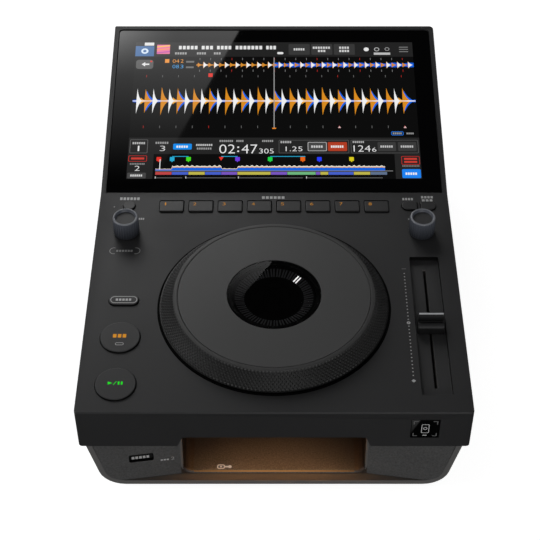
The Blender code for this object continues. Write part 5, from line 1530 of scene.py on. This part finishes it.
    def burst(self, x, y, height, span, shade, layer, steep=3.0):
        """A beat: it jumps to its height, then falls as the exponential of its share of the span."""
        if x + span > WIDE:
            return
        along = np.linspace(0, 1, 7)
        fall = height * (np.exp(-steep * along) - math.exp(-steep) * along)
        run = np.concatenate([[-0.06], along]) * span + x
        fall = np.concatenate([[0.0], fall])
        upper = np.column_stack([run, y - fall])
        lower = np.column_stack([run, y + fall])[::-1][1:-1]
        self.page.slab(np.vstack([upper, lower]), tint(*shade), layer)

    def waves(self):
        """The large wave about the playhead, with its rows of beat ticks."""
        for k in range(17):
            self.beat_mark(WAVE_START + WAVE_PITCH * k, k in (0, 4, 12, 16), 105, ((241, 256), (596, 613)))
        self.box(404, 228, 427, 254, RED, 4)
        for x in (1104, 1450):
            self.page.slab([(x - 8, 612), (x, 599), (x + 8, 612)], tint(225, 185, 185), 4)
        self.mirrored(4, 1515, WAVE_Y, lambda x: 7 + 3 * np.sin(x / 17) ** 2, DEEP_BLUE, 2, 90)
        for k in range(-1, 17):
            x = WAVE_START + WAVE_PITCH * k
            even = k % 2 == 0
            high = 84 + 10 * math.sin(2.1 * k) ** 2
            if x > 0:
                self.burst(x + 7, WAVE_Y, 72 if even else 48, 56 if even else 40, (20, 100, 225), 3, 2.0)
                self.burst(x, WAVE_Y, high if even else high + 8, 44, (215, 138, 32), 4, 2.6)
            white = x + WAVE_PITCH / 2 + 5
            if white > 0:
                self.burst(white - 6, WAVE_Y, 88, 30, PALE, 6, 2.6)
                if not even:
                    self.burst(white + 14, WAVE_Y, 24, 34, (235, 165, 50), 5, 1.6)
        self.mirrored(4, 1515, WAVE_Y, lambda x: 2 + 2 * np.sin(x / 27) ** 2, PALE, 7, 120)
        self.grey(757, 113, 762, 611, 150, 8)
        self.box(750, 611, 770, 618, (240, 140, 40), 8)
        self.outline(1375, 636, 1439, 662, (40, 120, 230))
        self.each(self.word, (1383, 643, 1432, 655, 150), (1455, 644, 1495, 655, 150))

    def readouts(self):
        """The information bar: deck number, time, pitch and tempo."""
        self.each(
            self.grey, (0, 678, WIDE, 788, 36), (568, 738, 577, 747, 235, 4), (568, 765, 577, 774, 235, 4),
            (935, 708, 1034, 768, 70, 3, 6), (1300, 708, 1395, 768, 58, 3, 6), (1406, 708, 1502, 768, 58, 3, 6),
        )
        self.each(self.box, (233, 719, 330, 758, SKY, 3, 6), (1040, 708, 1140, 768, (175, 60, 35), 3, 6))
        self.each(
            self.outline, (7, 691, 100, 782, (105, 105, 105), 3, 2.5), (784, 694, 1150, 782, FRAME_GREY, 3, 2.5),
            (935, 708, 1034, 768, (190, 190, 190), 4), (1160, 694, 1512, 782, FRAME_GREY, 3, 2.5),
        )
        self.each(
            self.word, (20, 708, 88, 722, 180, 4), (140, 706, 210, 720, 150), (250, 732, 313, 746, 240, 4),
            (352, 721, 440, 734, 190), (357, 745, 436, 758, 150), (474, 694, 547, 707, 150),
            (562, 694, 602, 707, 150), (697, 694, 757, 707, 150), (793, 701, 852, 715, 170, 4),
            (953, 731, 1016, 746, 200, 4), (1056, 731, 1124, 746, 230, 4), (1170, 701, 1232, 714, 170, 4),
            (1314, 731, 1381, 745, 190, 4), (1420, 731, 1488, 745, 190, 4),
        )
        self.each(
            self.number, ("1", 49, 733, 57, 768), ("3", 164, 733, 192, 768, (210, 210, 210)),
            ("02", 474, 724, 556, 784), ("47", 590, 724, 672, 784), ("305", 682, 752, 757, 784),
            ("1.25", 820, 738, 907, 769), ("124", 1174, 730, 1262, 772), ("6", 1270, 745, 1292, 772),
        )

    def overview(self):
        """The bottom row: deck boxes at the ends, and the whole track with its markers and phrases."""
        self.each(
            self.grey, (0, 788, 134, TALL, 36), (1385, 788, WIDE, TALL, 36), (4, 911, 100, 948, 70, 3, 6),
            (167, 824, 171, 891, 235, 6), (147, 897, 1372, 902, 120, 5),
        )
        self.each(self.outline, (4, 798, 100, 838, (190, 45, 40)), (1419, 802, 1514, 858, (190, 45, 40)))
        self.each(
            self.box, (18, 811, 86, 824, (200, 60, 50), 3), (1433, 814, 1500, 826, (200, 60, 50), 3),
            (1433, 834, 1500, 846, (200, 60, 50), 3), (1419, 888, 1515, 946, (30, 130, 240), 3, 6),
        )
        self.each(
            self.word, (14, 848, 92, 859, 130), (20, 923, 84, 936, 210, 4), (1422, 862, 1512, 872, 120),
            (1436, 910, 1498, 925, 240, 4),
        )
        self.number("2", 40, 866, 66, 899, (225, 225, 225))
        x = np.linspace(147, 1332, 190)
        dip = 1 - 0.55 * ((x > 487) & (x < 570)) - 0.62 * (x < 231)
        rough = np.abs(np.sin(x * 0.37) * np.sin(x * 0.113 + 1.0))
        for height, shade, layer in (
            (36 * dip * (0.74 + 0.26 * rough), (230, 228, 220), 2),
            (30 * dip * (0.74 + 0.2 * rough), AMBER, 3),
            (23 * dip * (0.8 + 0.1 * rough), (25, 100, 220), 4),
        ):
            outline = np.vstack([np.column_stack([x, 897 - height]), [(1332, 897), (147, 897)]])
            self.page.slab(outline, tint(*shade), layer)
        for x0, shade in (
            (162, RED), (231, (40, 170, 210)), (316, (70, 220, 30)), (570, (110, 60, 220)),
            (739, (30, 210, 70)), (908, (230, 100, 20)), (994, (40, 60, 250)), (1161, (215, 200, 30)),
        ):
            self.box(x0 - 12, 808, x0 + 12, 834, shade, 5, 3)
            self.box(x0 - 3, 834, x0 + 3, 840, shade, 5)
        self.page.slab([(473, 808), (497, 808), (485, 832)], tint(*RED), 5)
        for x0, x1 in ((230, 316), (485, 570), (739, 922)):
            self.box(x0, 802, x1, 806, (40, 170, 210), 4)
        bounds = (147, 232, 318, 403, 487, 570, 742, 827, 974, 997, 1039, 1169, 1255, 1342)
        hues = {
            "red": (190, 70, 70), "blue": (70, 95, 200), "yellow": (190, 180, 75), "purple": (120, 85, 190),
            "green": (110, 180, 125), "slate": (95, 112, 140),
        }
        order = "red blue yellow blue purple yellow purple green purple yellow blue yellow slate".split()
        for left, right, name in zip(bounds, bounds[1:], order):
            self.box(left + 1, 906, right - 1, 924, hues[name], 4)
        for x0, x1 in ((147, 287), (304, 562), (574, 907), (924, 1317)):
            self.each(self.grey, (x0, 943, x1, 946, 110, 3), (x0, 936, x0 + 4, 948, 210, 4))


# Bay

STRIP_Y = -164.0 * MM
FRONT_EDGE = np.array([0.0, -170.75, 10.60]) * MM
FRONT_EDGE_UP = (0.0, 0.731, 0.682)


class PLAYER_OT_bay(bpy.types.Operator):
    """Make the bay's lamp, the painted highlight along its floor's front edge, the mark on its floor, and its USB
    socket
    """

    bl_idname = "player.bay"
    bl_label = "USB bay"

    def execute(self, context):
        shades = context.scene.player_colours
        low, high = corners("bay_light")
        half = (high - low)[:2] / 2
        centre = middle("bay_light") * (1, 1, 0) + (0, 0, low[2])
        depth = high[2] - low[2]
        shape = Shape()
        upward = [(0.6 * MM, 0.0), (0.15 * MM, 0.2 * MM), (0.0, 0.6 * MM), (0.0, depth)]
        shape.loft(stacked(lambda inset: rounded(half[0] - inset, half[1] - inset, 1.2 * MM), upward, centre))
        lens, tree, sockets = new_paint("bay_lens", Emission_Strength=3.0)
        slow = effect(tree, moulded_grain, Colour=(*shades.bay_glow, 1.0), Roughness=0.4, Grain=1.5 * MM, Spread=0.1)
        feed(
            tree, sockets, Base_Color=slow["Colour"], Emission_Color=slow["Colour"], Roughness=slow["Roughness"],
        )
        piece("bay_lamp_lens", shape, [lens], "player", ["bay_light"])
        self.strip_lamp(context.scene.player_studio.bay_power, shades.bay_glow, low)
        self.front_line()
        softened("usb_shell", "usb_socket", [tinned_steel()], "player", SOCKET_EDGE)
        return {"FINISHED"}

    def strip_lamp(self, power, glow, low):
        """A long warm lamp under the lens, at the front of the bay."""
        light = bpy.data.lights.new("bay_strip", "AREA")
        light.shape = "RECTANGLE"
        light.size, light.size_y = 108 * MM, 3 * MM
        light.energy = power
        light.color = glow
        light.spread = 110 * DEGREE
        shown("bay_strip", light).location = (0.0, STRIP_Y, low[2] - 0.6 * MM)

    def front_line(self):
        """A painted highlight along the floor's front edge: a glowing line, brightest in the middle. Also the mark
        on the floor, which glows as painted light.
        """
        line = Drawing(FRONT_EDGE, upward=FRONT_EDGE_UP)
        count, half = 28, 54.0
        share = np.linspace(-1, 1, count + 1)
        for a, b in zip(share, share[1:]):
            # The painted highlight is brightest in the middle and fades towards the ends
            level = 1.0 - 0.6 * ((a + b) / 2) ** 2
            ink = tuple(level * part for part in linear(150, 104, 56))
            line.box(a * half, -0.4, b * half, 0.6, (*ink, 1.0))
        piece("bay_front_painted_highlight", line, [lit()], "player")
        mark = Drawing((0.0, 0.0, 11.1 * MM))
        pale = tint(176, 158, 140)
        mark.border(-38.4, -169.1, -33.2, -165.5, 0.7, pale, 1, 0.9)
        mark.box(-33.2, -167.9, -30.2, -166.7, pale)
        mark.disc(-29.8, -167.3, 1.2, pale)
        mark.disc(-35.8, -167.3, 0.7, pale)
        piece("bay_floor_mark_painted_glow", mark, [lit()], "player")


# Phone tile

TILE_SET = 0.03 * MM


class PLAYER_OT_tile(bpy.types.Operator):
    """Make the gloss tile on the apron and its marks"""

    bl_idname = "player.tile"
    bl_label = "Phone tile"

    def execute(self, context):
        tile = gloss("tile_gloss", linear(4, 4, 4), 0.03, 0.02)
        low, high = corners("phone_tile")
        half = (high - low)[[0, 2]] / 2 / MM
        face = Drawing(middle("phone_tile") * (1, 0, 1) + (0, low[1] + TILE_SET, 0), upward=(0, 0, 1))
        rows = np.vstack([[(0.0, (low[1] - high[1] + TILE_SET) / MM)], quarter(0.12, 0.0, 3)])
        shape = Shape()
        shape.loft(np.stack([
            face.at(rounded(half[0] - inset, half[1] - inset, 0.3), height * MM) for inset, height in rows
        ]))
        piece("touch_tile", shape, [tile], "player", ["phone_tile"])
        marks = Drawing(face.origin, upward=(0, 0, 1))
        white, grey = tint(235, 235, 235), tint(120, 120, 120)
        for side_x in (-1, 1):
            for side_y in (-1, 1):
                marks.line(np.array([(4.8, 7.2), (7.4, 7.2), (7.4, 4.4)]) * (side_x, side_y), 0.6, grey)
        marks.border(-2.5, -4.4, 2.5, 4.4, 0.45, white, 1, 0.8)
        marks.line(circle(1.1, 16) + (0.0, 0.2), 0.4, white, ring=True)
        marks.box(-1.3, -7.0, 1.3, -6.3, white, 2)
        piece("tile_marks", marks, [printed()], "player")
        return {"FINISHED"}


# Rear sockets

class PLAYER_OT_sockets(bpy.types.Operator):
    """Make the rear sockets and the power button"""

    bl_idname = "player.sockets"
    bl_label = "Rear sockets"

    def execute(self, context):
        black, steel = black_plastic(), tinned_steel()
        white = small_plastic("white_plastic", 225, 222, 214)
        red = small_plastic("red_plastic", 176, 32, 30)
        orange = small_plastic("orange_plastic", 206, 108, 28)
        gold = metal("contact_gold", linear(214, 176, 98), 0.28)
        for name, paint, slot in (
            ("phono_left", white, "white_plastic"), ("phono_right", red, "red_plastic"),
            ("digital_socket", orange, "red_plastic"),
        ):
            socket = softened(f"{name}_body", name, [steel, paint, black], "player", SOCKET_EDGE)
            centre = middle(name)
            repaint(socket, lambda centres, normals: self.phono_zone(centres - centre, normals))
        network = softened(
            "network_socket_body", "network_socket", [steel, black], "player", SOCKET_EDGE,
        )
        low, high = corners("network_socket")
        repaint(network, lambda centres, normals: self.inside(centres, low, high, 1.2 * MM))
        self.contacts(gold, (low + high) / 2, high)
        inlet = softened("power_inlet_body", "power_inlet", [black, steel], "player", SOCKET_EDGE)
        low, high = corners("power_inlet")
        centre = (low + high) / 2 * (1, 0, 1) + high * (0, 1, 0)
        repaint(inlet, lambda centres, normals: self.blades((centres - centre) / MM, normals))
        self.power_mark()
        dress("power_button", key_plastic(context.scene.player_colours))
        dress("eject_button", plastic("eject_plastic", linear(26, 26, 26), 0.5, 0.2, 0.008, Specular_IOR_Level=0.25))
        return {"FINISHED"}

    def phono_zone(self, away, normals):
        """A metal barrel, a coloured ring on its end and a black hole."""
        reach = np.hypot(away[:, 0], away[:, 2])
        side = np.abs(normals[:, 1]) < 0.5
        return np.select([side & (reach < 2.4 * MM), ~side & (reach < 4.6 * MM)], [2, 1], 0)

    def inside(self, centres, low, high, margin):
        """Faces further than the margin from the sides of the box."""
        return np.minimum(centres - low, high - centres)[:, [0, 2]].min(1) > margin

    def contacts(self, gold, centre, high):
        """Eight thin spring contacts that lean back in the network socket."""
        springs = Shape()
        for k in range(8):
            x = centre[0] + (k - 3.5) * 1.02 * MM
            top = centre[2] + 3.6 * MM
            path = np.array([(high[1] - 1.5 * MM, top), (high[1] - 9.0 * MM, top - 3.2 * MM)])
            half = 0.17 * MM
            corners_at = [(x - half, 0), (x - half, 0.3 * MM), (x + half, 0.3 * MM), (x + half, 0)]
            loops = np.array([[(cx, y, z + dz) for cx, dz in corners_at] for y, z in path])
            springs.loft(loops)
        piece("network_contacts", springs, [gold], "player")

    def blades(self, away, normals):
        """The sides and tips of the inlet's three blades, but not the floor that they stand on."""
        x, y, z = away.T
        blade = ((np.abs(np.abs(x) - 7) < 1.15) | (np.abs(x) < 1.15)) & (np.abs(z) < 4.2)
        return blade & ((np.abs(normals[:, 1]) < 0.5) | (y > -4))

    def power_mark(self):
        """A ring broken by a bar, on the power button."""
        low, high = corners("power_button")
        centre = (low + high) / 2
        mark = Drawing((centre[0], high[1], centre[2]), (-1, 0, 0), (0, 0, 1))
        white = tint(190, 190, 190)
        mark.line(arc(2.4, 0.34, 1.16, 25), 0.5, white)
        mark.box(-0.25, 0.6, 0.25, 3.0, white)
        piece("power_mark", mark, [printed()], "power_button_body")


# Pieces inside

class PLAYER_OT_inside(bpy.types.Operator):
    """Give the boards, encoders, supply and other inner parts their finishes"""

    bl_idname = "player.inside"
    bl_label = "Inner parts"

    def execute(self, context):
        board = plastic("circuit_board", linear(26, 84, 54), 0.4, 0.6, 0.02, 0.4)
        cage = metal("cage_metal", linear(182, 182, 178), 0.38)
        white = small_plastic("white_plastic", 225, 222, 214)
        fader = plastic("fader_body", linear(64, 63, 62), 0.7, 0.4, 0.01)
        for paint, names in (
            (board, ("control_board", "main_board")),
            (cage, ("power_supply", "display_bracket", "lcd_module")),
            (tinned_steel(), ("loop_shaft", "browse_shaft", "loop_encoder", "browse_encoder", "tempo_lever")),
            (fader, ("fader_body",)),
            (black_plastic(), ("loop_plunger", "browse_plunger", "jog_code_disc", "jog_sensor")),
            (white, ("jog_bush",)),
        ):
            for name in names:
                dress(name, paint)
        return {"FINISHED"}


class PLAYER_PT_player(bpy.types.Panel):
    """The player's pieces, and the settings that they are made with"""

    bl_idname = "PLAYER_PT_player"
    bl_label = "Player"
    bl_space_type = "VIEW_3D"
    bl_region_type = "UI"
    bl_category = "Player"

    def draw(self, context):
        for step in STEPS:
            self.layout.operator(step.bl_idname)
        for group in GROUP_NAMES:
            settings = getattr(context.scene, group)
            box = self.layout.box()
            for key in settings.__annotations__:
                box.prop(settings, key)


STEPS = (
    PLAYER_OT_stage, PLAYER_OT_case, PLAYER_OT_base, PLAYER_OT_keys, PLAYER_OT_jog_wheel, PLAYER_OT_knobs,
    PLAYER_OT_fader, PLAYER_OT_screen, PLAYER_OT_bay, PLAYER_OT_tile, PLAYER_OT_sockets, PLAYER_OT_inside,
)
GROUP_NAMES = {
    "player_colours": PLAYER_PG_colours, "player_wheel": PLAYER_PG_wheel,
    "player_controls": PLAYER_PG_controls, "player_studio": PLAYER_PG_studio,
}


def register():
    """Adds the classes, and a group of settings for each kind to the scene."""
    for cls in (*GROUP_NAMES.values(), *STEPS, PLAYER_PT_player):
        bpy.utils.register_class(cls)
    for name, cls in GROUP_NAMES.items():
        setattr(bpy.types.Scene, name, PointerProperty(type=cls))


def unregister():
    """Takes the settings and classes away again."""
    for name in GROUP_NAMES:
        delattr(bpy.types.Scene, name)
    for cls in reversed((*GROUP_NAMES.values(), *STEPS, PLAYER_PT_player)):
        bpy.utils.unregister_class(cls)


def main():
    """Builds the whole scene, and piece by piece."""
    register()
    for make in (
        bpy.ops.player.stage, bpy.ops.player.case, bpy.ops.player.base, bpy.ops.player.keys,
        bpy.ops.player.jog_wheel, bpy.ops.player.knobs, bpy.ops.player.fader, bpy.ops.player.screen,
        bpy.ops.player.bay, bpy.ops.player.tile, bpy.ops.player.sockets, bpy.ops.player.inside,
    ):
        make()


if __name__ == "__main__":
    main()
